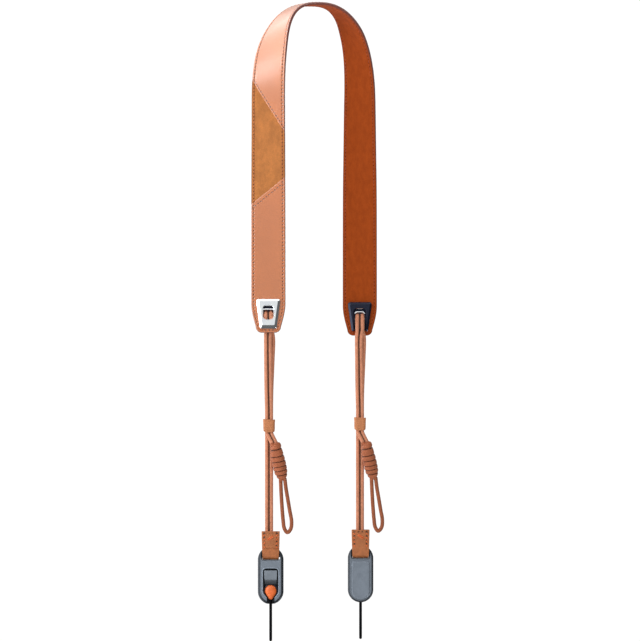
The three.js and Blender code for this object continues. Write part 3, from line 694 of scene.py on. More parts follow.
def lining_material():
    """Napped leather: a long soft nap along the band and a fine speckle."""
    finish = BandFinish("lining", bpy.context.scene.strap_colours.lining, 0.0007, 0.0004)
    finish.between(finish.noise(0.0035, 5.0, 0.7, (1.0, 1.0, 0.45)).ramp(0.3, 0.7), 0.86, 1.12)
    finish.tone(finish.noise(0.0008, 4.0, 0.7).ramp(0.3, 0.7), 0.35, 0.7)
    finish.burnished(0.35, 0.6).hole_shade_and_edge_paint(0.8, 0.2)
    return finish.done(
        roughness=0.9, normal=finish.bump(finish.noise(0.0005, 6.0, 0.7), 0.0003, 0.7),
        sheen_weight=0.05, sheen_roughness=0.5, specular_ior_level=0.03,
    )


def thread_material(name, base):
    """Twisted waxed thread: light and dark bands along the lay."""
    finish = Finish(name, base)
    return finish.between(finish.noise(0.0006, 2.0), 0.8, 1.15).done(roughness=0.55)


class BandLeather(bpy.types.Operator):
    """Outer leather, suede panel and lining of the band, with their stitch holes and painted edge"""

    bl_idname = "strap.band_leather"
    bl_label = "Band leather"

    def execute(self, context):
        upper, lower = seam_ends(UPPER_SEAM), seam_ends(LOWER_SEAM)
        start, stop = np.zeros(2), np.full(2, band.length)
        outer, inner = BAND_HALF_THICKNESS + LAYER_SEAM, BAND_HALF_THICKNESS - LAYER_SEAM
        tan = outer_leather_material("tan_leather_main", UPPER_LAP)
        main = leather_layer("tan_leather_main", upper, stop, outer, 1, tan, "tan_leather", [upper])
        tan = outer_leather_material("tan_leather_left_end", LOWER_LAP)
        left_end = leather_layer("tan_leather_left_end", start, lower, outer, 1, tan, "tan_leather", [lower])
        suede, ends = suede_material(), (lower - SUEDE_TUCK, upper + SUEDE_TUCK)
        leather_layer("suede_panel", *ends, outer - SUEDE_BELOW_TAN, 1, suede, "suede")
        lining = leather_layer("lining", start, stop, inner, -1, lining_material(), "lining_leather")
        half, reach, low, high = STRAP_HOLE
        for piece, sides in ((main, ["right"]), (left_end, ["left"]), (lining, SIDES)):
            for side in sides:
                place = {"centre": LEG[side][:2], "turn": 1, "lift": -BAND_END[side]}
                across, depth = np.array([-1, 1, 1, -1]) * half, np.array([-1, -1, 1, 1]) * reach
                box = np.array([put(place, across, depth, height) for height in (low, high)])
                cut(piece, Shell().grid(box).mesh("cutter"))
        return {"FINISHED"}


def seam_ends(seam):
    """The lengths along the band at which a seam meets its lower and its upper edge. The lower edge
    is the outside of the left leg, or else the seam's ends change places."""
    x = band.point(np.array([0.1, 0.1]), np.array([-0.01, 0.01]), np.zeros(2))[:, 0]
    return band.at_drop(seam)[:: 1 if x[0] < x[1] else -1]


class BandStitching(bpy.types.Operator):
    """Sewing threads round both faces of the band and along the seams of its suede panel"""

    bl_idname = "strap.band_stitching"
    bl_label = "Band stitching"

    def execute(self, context):
        sizes = context.scene.strap_sizes
        colours = context.scene.strap_colours
        middle, course, pitch = stitch_positions(sizes)
        length = pitch * 0.8
        width = sizes.thread_width
        top = BAND_HALF_THICKNESS - 0.00012
        outer = thread_run(Shell(), middle, course, length, width, top, 1)
        for seam, inset in ((UPPER_SEAM, UPPER_LAP), (LOWER_SEAM, -LOWER_LAP)):
            ends = seam_ends(seam)
            run = np.array([ends[1] - ends[0], BAND_WIDTH])
            size = np.linalg.norm(run)
            run /= size
            count = int((size - 0.008) / pitch)
            shift = (np.arange(count) - (count - 1) / 2) * pitch
            centre = np.array([ends.mean(), 0]) + np.array([run[1], -run[0]]) * inset
            places = centre + shift[:, None] * run
            thread_run(outer, places, np.broadcast_to(run, places.shape), length, width, top, 1)
        thread = thread_material("thread", colours.thread)
        outer.piece("band_thread", thread, "tan_leather")
        inner = thread_run(Shell(), middle, course, length, width * 0.9, -top, -1)
        thread = thread_material("lining_thread", colours.lining_thread)
        inner.piece("lining_thread", thread, "lining_leather")
        return {"FINISHED"}


# Cords

ROUTES = {}


def through(points, steps=12):
    """A centripetal Catmull-Rom curve through the points, steps places for each stretch."""
    points = np.asarray(points, float)
    ends = np.concatenate([[2 * points[0] - points[1]], points, [2 * points[-1] - points[-2]]])
    gaps = np.linalg.norm(np.diff(ends, axis=0), axis=1, keepdims=True) ** 0.5
    before, start, stop, after = ends[:-3], ends[1:-2], ends[2:-1], ends[3:]
    first, middle, last = gaps[:-2], gaps[1:-1], gaps[2:]
    leave = (start - before) / first - (stop - before) / (first + middle) + (stop - start) / middle
    reach = (stop - start) / middle - (after - start) / (middle + last) + (after - stop) / last
    leave, reach = leave * middle, reach * middle
    t = (np.arange(steps) / steps)[None, :, None]
    start, stop, leave, reach = (value[:, None] for value in (start, stop, leave, reach))
    curve = (
        start
        + leave * t
        + (3 * (stop - start) - 2 * leave - reach) * t**2
        + (2 * (start - stop) + leave + reach) * t**3
    )
    return np.concatenate([curve.reshape(-1, 3), points[-1:]])


def evenly(path, spacing):
    """The same path with its places a set length apart."""
    size = run_of(path)
    places = np.linspace(0, size[-1], max(4, int(size[-1] / spacing)))
    return np.stack([np.interp(places, size, path[:, axis]) for axis in range(3)], 1), places


def tube_points(path, places, reference, radius, sides, widen=1.0):
    """A circle carried along a path, square to it, its start turned towards the reference direction,
    in which it is widened by a factor at each place."""
    reference = np.asarray(reference, float)
    tangent = np.gradient(path, places, axis=0)
    tangent /= np.linalg.norm(tangent, axis=1, keepdims=True)
    side = reference - tangent * (tangent @ reference)[:, None]
    side /= np.linalg.norm(side, axis=1, keepdims=True)
    other = np.cross(tangent, side)[:, None]
    angle = (np.arange(sides) / sides * 2 * np.pi)[None, :, None]
    wide = np.broadcast_to(widen, len(path))[:, None, None] * side[:, None]
    return path[:, None] + radius * (np.cos(angle) * wide + np.sin(angle) * other)


def cord_maps(places, sides, radius):
    """UVs of a cord: length along it and length round it, in metres."""
    along, around = np.meshgrid(places, np.arange(sides + 1) / sides * 2 * np.pi * radius, indexing="ij")
    return {"Cord": np.stack([along, around], -1)}


# Where the adjusting cords go: at the pin inwards and up from it, and below it from the leg's and the
# keeper's middle
OVER_PIN = (0.0016, 0.0029)
INNER_LEG = [(0.00365, 0.00205), (0.0045, 0), (0.0054, -0.003), (0.00645, -0.006), (0.0069, -0.0095)]
WINDOW_LEG = [
    (-0.00045, 0.00205), (-0.0013, 0), (-0.00055, -0.0016), (0.0006, -0.003),
    (0.00195, -0.0044), (0.00315, -0.0064), (0.00345, -0.0095),
]
NEAR_WAY = [(-0.0003, -0.290), (-0.0002, -0.310), (0.0001, -0.335), (0.0006, -0.355)]
FAR_WAY = [(0.0023, -0.290), (0.0019, -0.310), (0.0009, -0.335), (0.0006, -0.355)]
STRAIGHT_WAY = [(0.0006, 0.00175, z) for z in (-0.380, -0.405, -0.430, -0.455, -0.4714)]
KNOT_WAY = [
    (0.0006, -0.00175, -0.370), (0.0007, -0.00185, -0.3732), (0.0022, -0.0028, -0.3766),
    (0.004, -0.0042, -0.3802), (0.0051, -0.0051, -0.3824),
]
KNOT_TOP = (0.0055, -0.0054, -0.3836)
KNOT_BOTTOM = (0.0122, -0.0026, -0.4127)
PULL_LOOP_WAY = [
    (0.0107, -0.0024, -0.4136), (0.0109, -0.0022, -0.420), (0.0114, -0.0018, -0.430),
    (0.0121, -0.0014, -0.441), (0.0129, -0.0011, -0.450), (0.0139, -0.001, -0.4565),
    (0.0166, -0.001, -0.4602), (0.0195, -0.001, -0.457), (0.0202, -0.0011, -0.4505),
    (0.0186, -0.0014, -0.441), (0.0171, -0.0018, -0.432), (0.0154, -0.0022, -0.422),
    (0.0143, -0.0024, -0.4129),
]
# Backwards and up from the bottom of the quick release
TETHER_WAY = np.array([
    (-0.0027, 0.0036), (-0.0028, 0), (-0.0034, -0.006), (-0.0045, -0.013), (-0.0053, -0.020),
    (-0.005, -0.026), (-0.0034, -0.030), (-0.0011, -0.0312), (0.0012, -0.030), (0.0028, -0.026),
    (0.0031, -0.020), (0.0023, -0.013), (0.0012, -0.006), (0.0005, 0), (0.0004, 0.0044),
])
LOOP_THINNER = 0.92
CORD_PLY = 0.0011
CORD_SIDES = 20
RELEASE_BOTTOM = -0.5227
TAB_TOP = -0.4592


def keeper_middle(side):
    return LEG[side][1] + TURN[side] * GROUP_INWARD


def release_place(side):
    """Where a side's quick release goes: its middle, which way it is turned, and its bottom."""
    centre = (LEG[side][0] + HANG[side], keeper_middle(side) + CORD_SPACING / 2)
    return {"centre": centre, "turn": TURN[side], "lift": RELEASE_BOTTOM}


def side_point(side, place):
    """A place given from the leg's middle and the keeper's middle."""
    return np.array([LEG[side][0] + CORD_SHIFT[side] + place[0], keeper_middle(side) + place[1], place[2]])


def cord_points(side, pair_side):
    """The route of one cord: from inside the tab, up over the pin and down to the knot."""
    beside = pair_side * CORD_SPACING / 2
    pin = LEG[side][0] + pair_side * PIN_CORD_SPACING / 2, LEG[side][1], PIN_ABOVE_END - BAND_END[side]

    def at_pin(places):
        return [(pin[0], pin[1] + TURN[side] * inwards, pin[2] + up) for inwards, up in places]

    def on_way(places, y=0):
        return [side_point(side, (x + beside, *(given or [y]), z)) for x, *given, z in places]

    near_leg, far_leg = (WINDOW_LEG, INNER_LEG)[:: TURN[side]]
    return [
        *on_way(STRAIGHT_WAY)[::-1], *on_way(FAR_WAY, CORD_SPACING / 2)[::-1], *at_pin(far_leg)[::-1],
        *at_pin([OVER_PIN, *near_leg]), *on_way(NEAR_WAY, -CORD_SPACING / 2), *on_way(KNOT_WAY),
    ]


def cord_material(name, base, ply=CORD_PLY, relief=0.0001, contact_shade=0.0, grooved=False, specular=0.2):
    """A braided cord: plies that cross in two directions round it, with a darker line between. Where it
    lies on its fellow it is darkened as painted shade, by the contact shade: at the start of the turn
    round it, or by the Groove map where it is wound up."""
    finish = Finish(name, base)
    along, around = finish.map("Cord")
    ways = ((way / ply).math("FRACT") - 0.5 for way in (along + around, along - around))
    right, left = (way.math("ABSOLUTE").ramp(0.5, 0.25) for way in ways)
    strand = right * left
    turn = (around / (np.pi * bpy.context.scene.strap_sizes.cord_diameter)).math("FRACT")
    contact_shade_mask = (turn - 0.5).math("ABSOLUTE").ramp(0.27, 0.42)
    if grooved:
        contact_shade_mask = finish.map("Groove")[0].ramp(0.1, 0.75)
    finish.between(finish.noise(0.004, 4.0, 0.6).ramp(0.3, 0.7), 0.88, 1.08)
    # painted shade where the cord lies against its fellow or sits in the knot's grooves
    finish.tone(1 - strand, 0.25, 0.6).tone(contact_shade_mask, contact_shade, 0.1)
    fuzz = finish.noise(0.0003, 3.0, 0.7)
    return finish.done(
        roughness=0.6, normal=finish.bump(strand + fuzz * 0.35, relief, 0.5),
        specular_ior_level=specular, sheen_weight=specular / 4,
    )


def lay_cord(side, name, points, reference, radius, material, slot="cord", spacing=0.0008, sides=CORD_SIDES):
    """A cord through the points, pressed wider where it runs over the pin. Its route is kept."""
    path, places = evenly(through(points), spacing)
    off_pin = path[:, 2] - (PIN_ABOVE_END - BAND_END[side])
    widen = 1 + 0.13 * np.exp(-((off_pin / 0.008) ** 4))
    ring = tube_points(path, places, reference, radius, sides, widen)
    Shell().grid(ring, maps=cord_maps(places, sides, radius)).dress(f"{side}_{name}", material, slot)
    ROUTES[f"{side}_{name}"] = path


class Cords(bpy.types.Operator):
    """The two adjusting cords of each side, from the tab over the plate's pin to the knot"""

    bl_idname = "strap.cords"
    bl_label = "Adjusting cords"

    def execute(self, context):
        radius = context.scene.strap_sizes.cord_diameter / 2
        # painted shade where the two cords of a pair touch
        material = cord_material("cord_pair", context.scene.strap_colours.cord, contact_shade=0.95)
        for side in SIDES:
            for letter, pair_side in (("a", -1), ("b", 1)):
                points = cord_points(side, pair_side)
                lay_cord(side, f"cord_{letter}", points, (-pair_side, 0, 0), radius, material)
        return {"FINISHED"}


class PullLoops(bpy.types.Operator):
    """The loop of cord under each sliding knot"""

    bl_idname = "strap.pull_loops"
    bl_label = "Pull loops"

    def execute(self, context):
        radius = context.scene.strap_sizes.cord_diameter / 2 * LOOP_THINNER
        # the pull loops are darker still than the wound cord colour: painted shade
        material = cord_material("cord_loose", shade(context.scene.strap_colours.knot, 0.78))
        for side in SIDES:
            points = [side_point(side, place) for place in PULL_LOOP_WAY]
            lay_cord(side, "pull_loop", points, (0, 1, 0), radius, material)
        return {"FINISHED"}


class Tethers(bpy.types.Operator):
    """The black tether loop under each quick release"""

    bl_idname = "strap.tethers"
    bl_label = "Tethers"

    def execute(self, context):
        radius = context.scene.strap_sizes.tether_diameter / 2
        colour = context.scene.strap_colours.tether
        material = cord_material("tether", colour, 0.0009, 0.00003, specular=0.05)
        for side in SIDES:
            points = put(release_place(side), 0, *TETHER_WAY.T)
            lay_cord(side, "tether", points, (1, 0, 0), radius, material, "tether", 0.0007, 16)
        return {"FINISHED"}


# The knot from its top down, in millimetres: its outer radius, how far it leans to the right, and
# the grooves between the turns on its front
KNOT_DOWN = [-1.7, -1.3, -0.3, 1.2, 4, 8, 13, 19, 24, 27.5, 29.6, 31, 31.5]
KNOT_RADIUS = [0.6, 2.2, 3.3, 4.2, 5.1, 5.75, 6.05, 6.1, 5.8, 5.0, 3.9, 2.4, 1.0]
KNOT_LEAN = [2.3, 2.2, 1.9, 1.3, 0.3, 0, 0, 0, 0, 0, 0, 0, 0]
KNOT_GROOVES = [-3.0, 3.9, 10.2, 14.8, 19.3, 22.9, 26.8, 31.8]
KNOT_TURN_LENGTH = 0.0110  # of cord, in the Cord map


class Knots(bpy.types.Operator):
    """The sliding knot of each side: turns of cord wound side by side round the strands"""

    bl_idname = "strap.knots"
    bl_label = "Sliding knots"

    def execute(self, context):
        # the knots take the wound cord colour, a painted shade of the cord, and painted shade in their
        # grooves
        colour = context.scene.strap_colours.knot
        material = cord_material("cord_knot", colour, contact_shade=0.9, grooved=True)
        radius = context.scene.strap_sizes.cord_diameter / 2
        for side in SIDES:
            top, bottom = side_point(side, KNOT_TOP), side_point(side, KNOT_BOTTOM)
            axis = (bottom - top) / np.linalg.norm(bottom - top)
            shell = knot_turns(top, axis)
            loop = ROUTES[f"{side}_pull_loop"]
            strands = [(ROUTES[f"{side}_cord_{letter}"][-3], top, 0.006) for letter in "ab"]
            strands += [(loop[2], bottom, -0.004), (loop[-3], bottom, -0.004)]
            for start, end, further in strands:
                inside = end + further * axis
                path = start + np.linspace(0, 1, 9)[:, None] * (inside - start)
                places = np.linalg.norm(path - start, axis=1)
                ring = tube_points(path, places, (1, 0.3, 0), radius * 0.98, CORD_SIDES)
                maps = cord_maps(places, CORD_SIDES, radius)
                shell.grid(ring, maps={**maps, "Groove": 0 * maps["Cord"]})
            shell.dress(f"{side}_sliding_knot", material, "cord")
        return {"FINISHED"}


def knot_turns(top, axis):
    """The winding: a barrel of changing radius about the knot's axis, drawn in along a screw line at
    each groove. A turn's number grows down the barrel and by one round it."""
    front = np.array([0, -1.0, 0]) + axis * axis[1]
    front /= np.linalg.norm(front)
    right = np.cross(front, axis)
    down = (1 - np.cos(np.linspace(0, np.pi, 190))) / 2 * (KNOT_DOWN[-1] - KNOT_DOWN[0]) + KNOT_DOWN[0]
    angle = np.linspace(0, 2 * np.pi, 65)
    number = np.interp(down, KNOT_GROOVES, range(len(KNOT_GROOVES)))[:, None] + angle / (2 * np.pi)
    number = number - 0.20 * np.sin(angle) - 0.07 * np.cos(angle)
    groove = np.abs(2 * (number % 1) - 1) ** 5
    radius = np.interp(down, KNOT_DOWN, KNOT_RADIUS)[:, None]
    drawn = radius - np.minimum(0.95, radius * 0.2) * groove
    lean = np.interp(down, KNOT_DOWN, KNOT_LEAN)[:, None]
    ring = (
        top + down[:, None, None] * axis / 1000
        + (drawn * np.cos(angle))[..., None] * front / 1000
        + (lean + drawn * np.sin(angle))[..., None] * right / 1000
    )
    cord = np.stack([angle * radius / 1000, number * KNOT_TURN_LENGTH], -1)
    return Shell().grid(ring[:, :-1], maps={"Cord": cord, "Groove": np.stack([groove, groove], -1)})


class CordFacts(bpy.types.Operator):
    """Works out where each side's quick release lies and where its knot ends, and says nothing of it"""

    bl_idname = "strap.cord_facts"
    bl_label = "Cord lengths"

    def execute(self, context):
        for side in SIDES:
            x, y = release_place(side)["centre"]
            tuple(side_point(side, KNOT_BOTTOM))
        return {"FINISHED"}


# Outlines and slabs


def rounded_outline(corners, radii, arc_steps=8, edge_steps=3):
    """A polygon listed anticlockwise, each corner rounded by its radius: returns its outline moved
    outwards by a growth. The arcs keep their centres, so outlines of any growth match by points."""
    corners = np.asarray(corners, float)
    radii = np.broadcast_to(np.asarray(radii, float), len(corners))
    before = np.roll(corners, 1, 0) - corners
    after = np.roll(corners, -1, 0) - corners
    before /= np.linalg.norm(before, axis=1, keepdims=True)
    after /= np.linalg.norm(after, axis=1, keepdims=True)
    bend = np.sign(after[:, 0] * before[:, 1] - after[:, 1] * before[:, 0])
    half = np.arccos(np.clip((before * after).sum(1), -1, 1)) / 2
    inwards = before + after
    inwards /= np.linalg.norm(inwards, axis=1, keepdims=True)
    centres = corners + inwards * (radii / np.sin(half))[:, None]
    middle = np.arctan2(-inwards[:, 1], -inwards[:, 0])
    sweep = bend * (np.pi / 2 - half)
    angle = middle[:, None] + sweep[:, None] * np.linspace(-1, 1, arc_steps + 1)[None]
    around = np.stack([np.cos(angle), np.sin(angle)], -1)

    def outline(grow):
        arcs = centres[:, None] + (radii + bend * grow)[:, None, None] * around
        starts, stops = arcs[:, -1], np.roll(arcs[:, 0], -1, 0)
        share = (np.arange(1, edge_steps) / edge_steps)[None, :, None]
        edges = starts[:, None] + share * (stops - starts)[:, None]
        return np.concatenate([arcs, edges], 1).reshape(-1, 2)

    return outline


def box_outline(low, high, radii, **steps):
    """The outline of a rectangle from its low to its high corner."""
    (x0, z0), (x1, z1) = low, high
    return rounded_outline([(x0, z0), (x1, z0), (x1, z1), (x0, z1)], radii, **steps)


def round_section(near, far, near_radius, far_radius, steps=6):
    """The edge of a slab as how far the outline draws in and at which depth: a little flat, the near
    rounding, the wall, the far rounding and a little flat."""
    turn = np.linspace(0, np.pi / 2, steps)
    first = np.stack([near_radius * (1 - np.sin(turn)), near + near_radius * (1 - np.cos(turn))], 1)
    second = np.stack([far_radius * (1 - np.cos(turn)), far - far_radius * (1 - np.sin(turn))], 1)
    flat = 0.00012
    return np.concatenate([[[near_radius + flat, near]], first, second, [[far_radius + flat, far]]])


def bevelled(outer, inner, face, back, drop, place):
    """A plate whose face is smaller than its back: the outer outline passes into the inner one over
    the bevel, with a small rounding at both of its edges."""
    deeper = drop * np.sign(back - face)
    shares = [1.06, 1.02, 0.985, 0.93, 0.07, 0.02, 0, 0]
    falls = [0, 0, 0.03, 0.085, 0.92, 1.0, 1.12, (abs(back - face) - 0.00015) / drop]
    rows = [
        (outer(0) * (1 - share) + inner(0) * share, face + deeper * fall)
        for share, fall in zip(shares, falls)
    ]
    return Shell().grid(put_rows(place, rows + [(outer(-draw), back) for draw in (0.00015, 0.0005)]))


def painted_light_map(points, face):
    """The map of painted light and shade of a grid, one value to a row: 0 for painted shade on edges, 1 for
    flat faces, 2 for a painted highlight on raised lines.
    """
    share = np.zeros((len(points), points.shape[1] + 1, 2))
    share[..., 0] = np.asarray(face)[:, None]
    return {"PaintedLight": share}


def slab(outline, section, place, face=None):
    """The outline drawn in by each step of the section at that step's depth, put on its place."""
    points = put_rows(place, [(outline(-draw), depth) for draw, depth in section])
    return Shell().grid(points, maps=None if face is None else painted_light_map(points, face))


def cut_out(piece, outline, section, place):
    """Cuts a slab's form out of a closed piece."""
    cut(piece, slab(outline, section, place).mesh("cutter"))


# The end plates, from the band's end up

PLATE_OUTLINE = rounded_outline(
    [(-0.0072, 0.0035), (0.0072, 0.0035), (0.0108, 0.0294), (-0.0108, 0.0294)], 0.0022
)
BRIGHT_FACE = rounded_outline(
    [(-0.0054, 0.0067), (0.0054, 0.0067), (0.0084, 0.0279), (-0.0084, 0.0279)], 0.0008
)
DARK_FACE = rounded_outline(
    [(-0.0056, 0.0055), (0.0056, 0.0055), (0.0089, 0.0276), (-0.0089, 0.0276)], 0.0012
)
WINDOW = box_outline((-0.0044, 0.0118), (0.0044, 0.0237), (0.0031, 0.0031, 0.0024, 0.0024))
MOUTH = box_outline((-0.0054, -0.004), (0.0054, 0.0240), (0.0005, 0.0005, 0.0030, 0.0030))
# The web is the floor of the plate's channel, drawn down to the plate's bottom as a dark sheet of painted
# shade beside the cords.
WEB = box_outline((-0.00525, 0.0042), (0.00525, 0.0236), 0.0004, arc_steps=3)
BRIGHT_DEPTHS = (-0.00365, -0.00165)  # of its face and its back
DARK_DEPTHS = (0.00515, 0.00165)
LUG_WIDTH = 0.0009


def metal_material(name, base, roughness, metallic, specular=0.5):
    """Coated or satin metal: faint clouding in its colour and a very fine tooth."""
    finish = Finish(name, base)
    tooth = finish.noise(0.0006, 3.0, 0.6)
    finish.between(finish.noise(0.006).ramp(0.3, 0.7), 0.95, 1.05)
    return finish.done(
        roughness=roughness + tooth * 0.08, normal=finish.bump(tooth, 0.00001, 0.4),
        metallic=metallic, specular_ior_level=specular,
    )


def bar_points(place, depth, height, half, bend):
    """A rounded rod across the plate's opening, whose ends bend down."""
    x = np.linspace(-1, 1, 25)
    path = put(place, x * half, depth, height - bend * np.abs(x) ** 5)
    return tube_points(path, np.linspace(0, 2 * half, len(x)), (0, 1, 0), 0.00072, 14)


class Plates(bpy.types.Operator):
    """Bevelled plates at the ends of the band: a bright one outside, a dark one inside, and the pin"""

    bl_idname = "strap.plates"
    bl_label = "End plates"

    def execute(self, context):
        colours = context.scene.strap_colours
        bright = metal_material("bright_plate", colours.silver, 0.22, 1.0)
        dark = metal_material("dark_plate", colours.gunmetal, 0.3, 0.5, specular=0.3)
        steel = metal_material("pin_steel", colours.steel, 0.3, 1.0)
        for side in SIDES:
            place = {"centre": LEG[side][:2], "turn": TURN[side], "lift": -BAND_END[side]}
            face, back = BRIGHT_DEPTHS
            shell = bevelled(PLATE_OUTLINE, BRIGHT_FACE, face, back, 0.0014, place)
            front = shell.dress(f"{side}_front_plate", bright, "bright_plate")
            rim = [(-0.0011, face - 0.0005), (-0.0006, face), (0, face + 0.0007), (0, back + 0.001)]
            cut_out(front, WINDOW, rim, place)
            bars = Shell().grid(bar_points(place, -0.0024, 0.0205, 0.0050, 0.0004))
            bars.grid(bar_points(place, 0.0027, 0.0209, 0.0043, 0.0015))
            joined(front, bars.mesh("bars"))
            crisp(front)
            shell = bevelled(PLATE_OUTLINE, DARK_FACE, *DARK_DEPTHS, 0.0016, place)
            inner = shell.dress(f"{side}_back_plate", dark, "dark_plate")
            cut_out(inner, MOUTH, [(0, 0.0005), (0, 0.00475), (-0.0004, 0.00516), (-0.0007, 0.0056)], place)
            # the web: the channel's floor, and below it a dark sheet of painted shade beside the cords
            web = slab(WEB, [(0.0002, 0.0013), (0, 0.0014), (0, 0.0018), (0.0002, 0.0019)], place)
            web = web.piece(f"{side}_web_dressed", dark, "dark_plate")
            for middle in (-PIN_CORD_SPACING / 2, PIN_CORD_SPACING / 2):
                gap = box_outline((middle - 0.0017, 0.0160), (middle + 0.0017, 0.0190), 0.0010, arc_steps=4)
                cut_out(web, gap, [(0, 0.0005), (0, 0.0030)], place)
            joined(inner, web.data.copy())
            bpy.data.objects.remove(web)
            for low in (-0.0053, 0.0053 - LUG_WIDTH):
                corners = (low, PIN_ABOVE_END - 0.003), (low + LUG_WIDTH, PIN_ABOVE_END + 0.003)
                lug = box_outline(*corners, 0.0002, arc_steps=3)
                joined(inner, slab(lug, [(0, -0.0016), (0, 0.0031)], place).mesh("lug"))
            crisp(inner)
            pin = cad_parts[f"{side}_anchor_pin"]
            pin.data.materials.clear()
            pin.data.materials.append(steel)
        return {"FINISHED"}


KEEPER_HALF_HEIGHT = 0.00555
KEEPER_WALL = 0.0013
KEEPER_RIM = 0.00035


class Keepers(bpy.types.Operator):
    """The leather ring that holds each side's four strands together"""

    bl_idname = "strap.keepers"
    bl_label = "Keeper rings"

    def execute(self, context):
        material = keeper_material(context.scene.strap_colours.keeper)
        square = box_outline((-0.00505, -0.00495), (0.00505, 0.00495), 0.0024, arc_steps=10, edge_steps=12)
        half, wall, rim = KEEPER_HALF_HEIGHT, KEEPER_WALL, KEEPER_RIM
        section = [
            (0, -half + rim), (0, -half * 0.5), (0, 0), (0, half * 0.5), (0, half - rim),
            (0.1 * rim, half - 0.5 * rim), (0.45 * rim, half - 0.1 * rim), (rim, half),
            (wall - rim, half), (wall, half - rim), (wall, 0), (wall, -half + rim),
            (wall - rim, -half), (rim, -half), (0.3 * rim, -half + 0.3 * rim),
        ]
        for side in SIDES:
            centre = (LEG[side][0] + CORD_SHIFT[side] + KEEPER_SIDEWAYS, keeper_middle(side))
            place = {"centre": centre, "turn": 1, "lift": KEEPER_HEIGHT[side]}
            rows = []
            for draw, height in section:
                x, y = square(-draw).T
                above, below = np.clip([height / half, -height / half], 0, 1)
                flare = 1 + 0.05 * above**3 - 0.05 * below**4
                uneven = 0.00018 * np.sin(3 * np.arctan2(y, x) + 1) * np.sign(height)
                uneven = uneven + 0.0009 * below * np.abs(x / 0.005) ** 5 - 0.04 * x
                rows.append(put(place, x * flare, y, height + uneven))
            shell = Shell().grid(np.array(rows), ring=True)
            crisp(shell.dress(f"{side}_keeper", material, "keeper_leather"), 60)
        return {"FINISHED"}


def keeper_material(base):
    """Cut leather with a soft grain, and level lines across it where it was split."""
    finish = Finish("keeper_leather", base)
    grain = finish.noise(0.0007, 4.0, 0.65)
    lines = finish.noise(0.0012, 3.0, 0.6, (0.25, 0.25, 2.2))
    finish.between(finish.noise(0.006, 4.0, 0.6).ramp(0.3, 0.7), 0.84, 1.1)
    finish.tone(grain.ramp(0.35, 0.7), 0.4, 0.6).tone(lines.ramp(0.45, 0.7), 0.45, 0.62)
    return finish.done(roughness=0.6 + grain * 0.15, normal=finish.bump(grain + lines * 1.2, 0.0003, 0.6))


TAB_BOTTOM = -0.4840
TAB_LAYER_END = -0.4740
TAB_COLUMN = 0.0056
TAB_PITCH = 0.0035
TAB_HALF_WIDTH = 0.0079
TAB_INNER = 0.0019  # from the tab's middle to the inside and the outside of its strip
TAB_OUTER = 0.0033
TAB_LAYER_OUT = 0.00385  # to the middle of the stitched layer


def on_tab(side, points):
    """Places given across, out and in height, bowed forwards in the middle and narrower lower down,
    put on the side's tab."""
    across, out, height = np.moveaxis(points, -1, 0)
    down = np.clip((TAB_TOP - height) / (TAB_TOP - TAB_BOTTOM), 0, 1)
    across = across * (1.0 - 0.10 * down**1.5)
    bow = 0.0006 * (1 - (across / TAB_HALF_WIDTH) ** 2) * np.sign(out) * (1 - down**4)
    return put({**release_place(side), "lift": 0}, across, out + bow, height)


class Tabs(bpy.types.Operator):
    """The leather tab of each side: a strip folded round the quick release's bar, with a stitched
    upper layer"""

    bl_idname = "strap.tabs"
    bl_label = "Leather tabs"

    def execute(self, context):
        colours = context.scene.strap_colours
        leather = tab_material(colours.tab)
        thread = thread_material("tab_thread", colours.tab_thread)
        half, middle, fold = TAB_HALF_WIDTH, (TAB_INNER + TAB_OUTER) / 2, TAB_BOTTOM + TAB_OUTER
        angle = np.linspace(0, np.pi, 19)
        away = np.stack([np.cos(angle), -np.sin(angle)], 1)
        leg = np.stack([np.full(15, middle), np.linspace(TAB_TOP, fold, 16)[:-1]], 1)
        path = np.concatenate([leg, away * middle + [0, fold], leg[::-1] * [-1, 1]])
        normal = np.concatenate([np.tile([1.0, 0], (len(leg), 1)), away, np.tile([-1.0, 0], (len(leg), 1))])
        steps = {"arc_steps": 5, "edge_steps": 10}
        across, thick = box_outline((-half, -0.0007), (half, 0.0007), 0.0004, **steps)(0).T
        out, height = (path[:, [axis]] + normal[:, [axis]] * thick for axis in (0, 1))
        folded = np.stack([np.broadcast_to(across, out.shape), out, height], -1)
        layer = box_outline((-half, -0.00065), (half, 0.00065), 0.0004, **steps)
        down = np.array([0, 0.0001, 0.0003, *np.linspace(0.0008, 0.0140, 14), 0.0145, 0.01475, 0.0148])
        draw = np.interp(down, [0, 0.0003, 0.0145, 0.0148], [0.0004, 0, 0, 0.0004])
        across, thick = np.array([layer(-one) for one in draw]).transpose(2, 0, 1)
        height = np.broadcast_to(TAB_TOP + 0.0002 - down[:, None], across.shape)
        upper = np.stack([across, thick - TAB_LAYER_OUT, height], -1)
        for side in SIDES:
            shell = Shell()
            for points in (folded, upper):
                flat = points[:, np.append(np.arange(points.shape[1]), 0)][..., [0, 2]]
                shell.grid(on_tab(side, points), maps={"Flat": flat})
            crisp(shell.dress(f"{side}_tab", leather, "tab_leather"), 60)
            tab_stitches(side).piece(f"{side}_tab_thread", thread, "tab_leather")
        return {"FINISHED"}


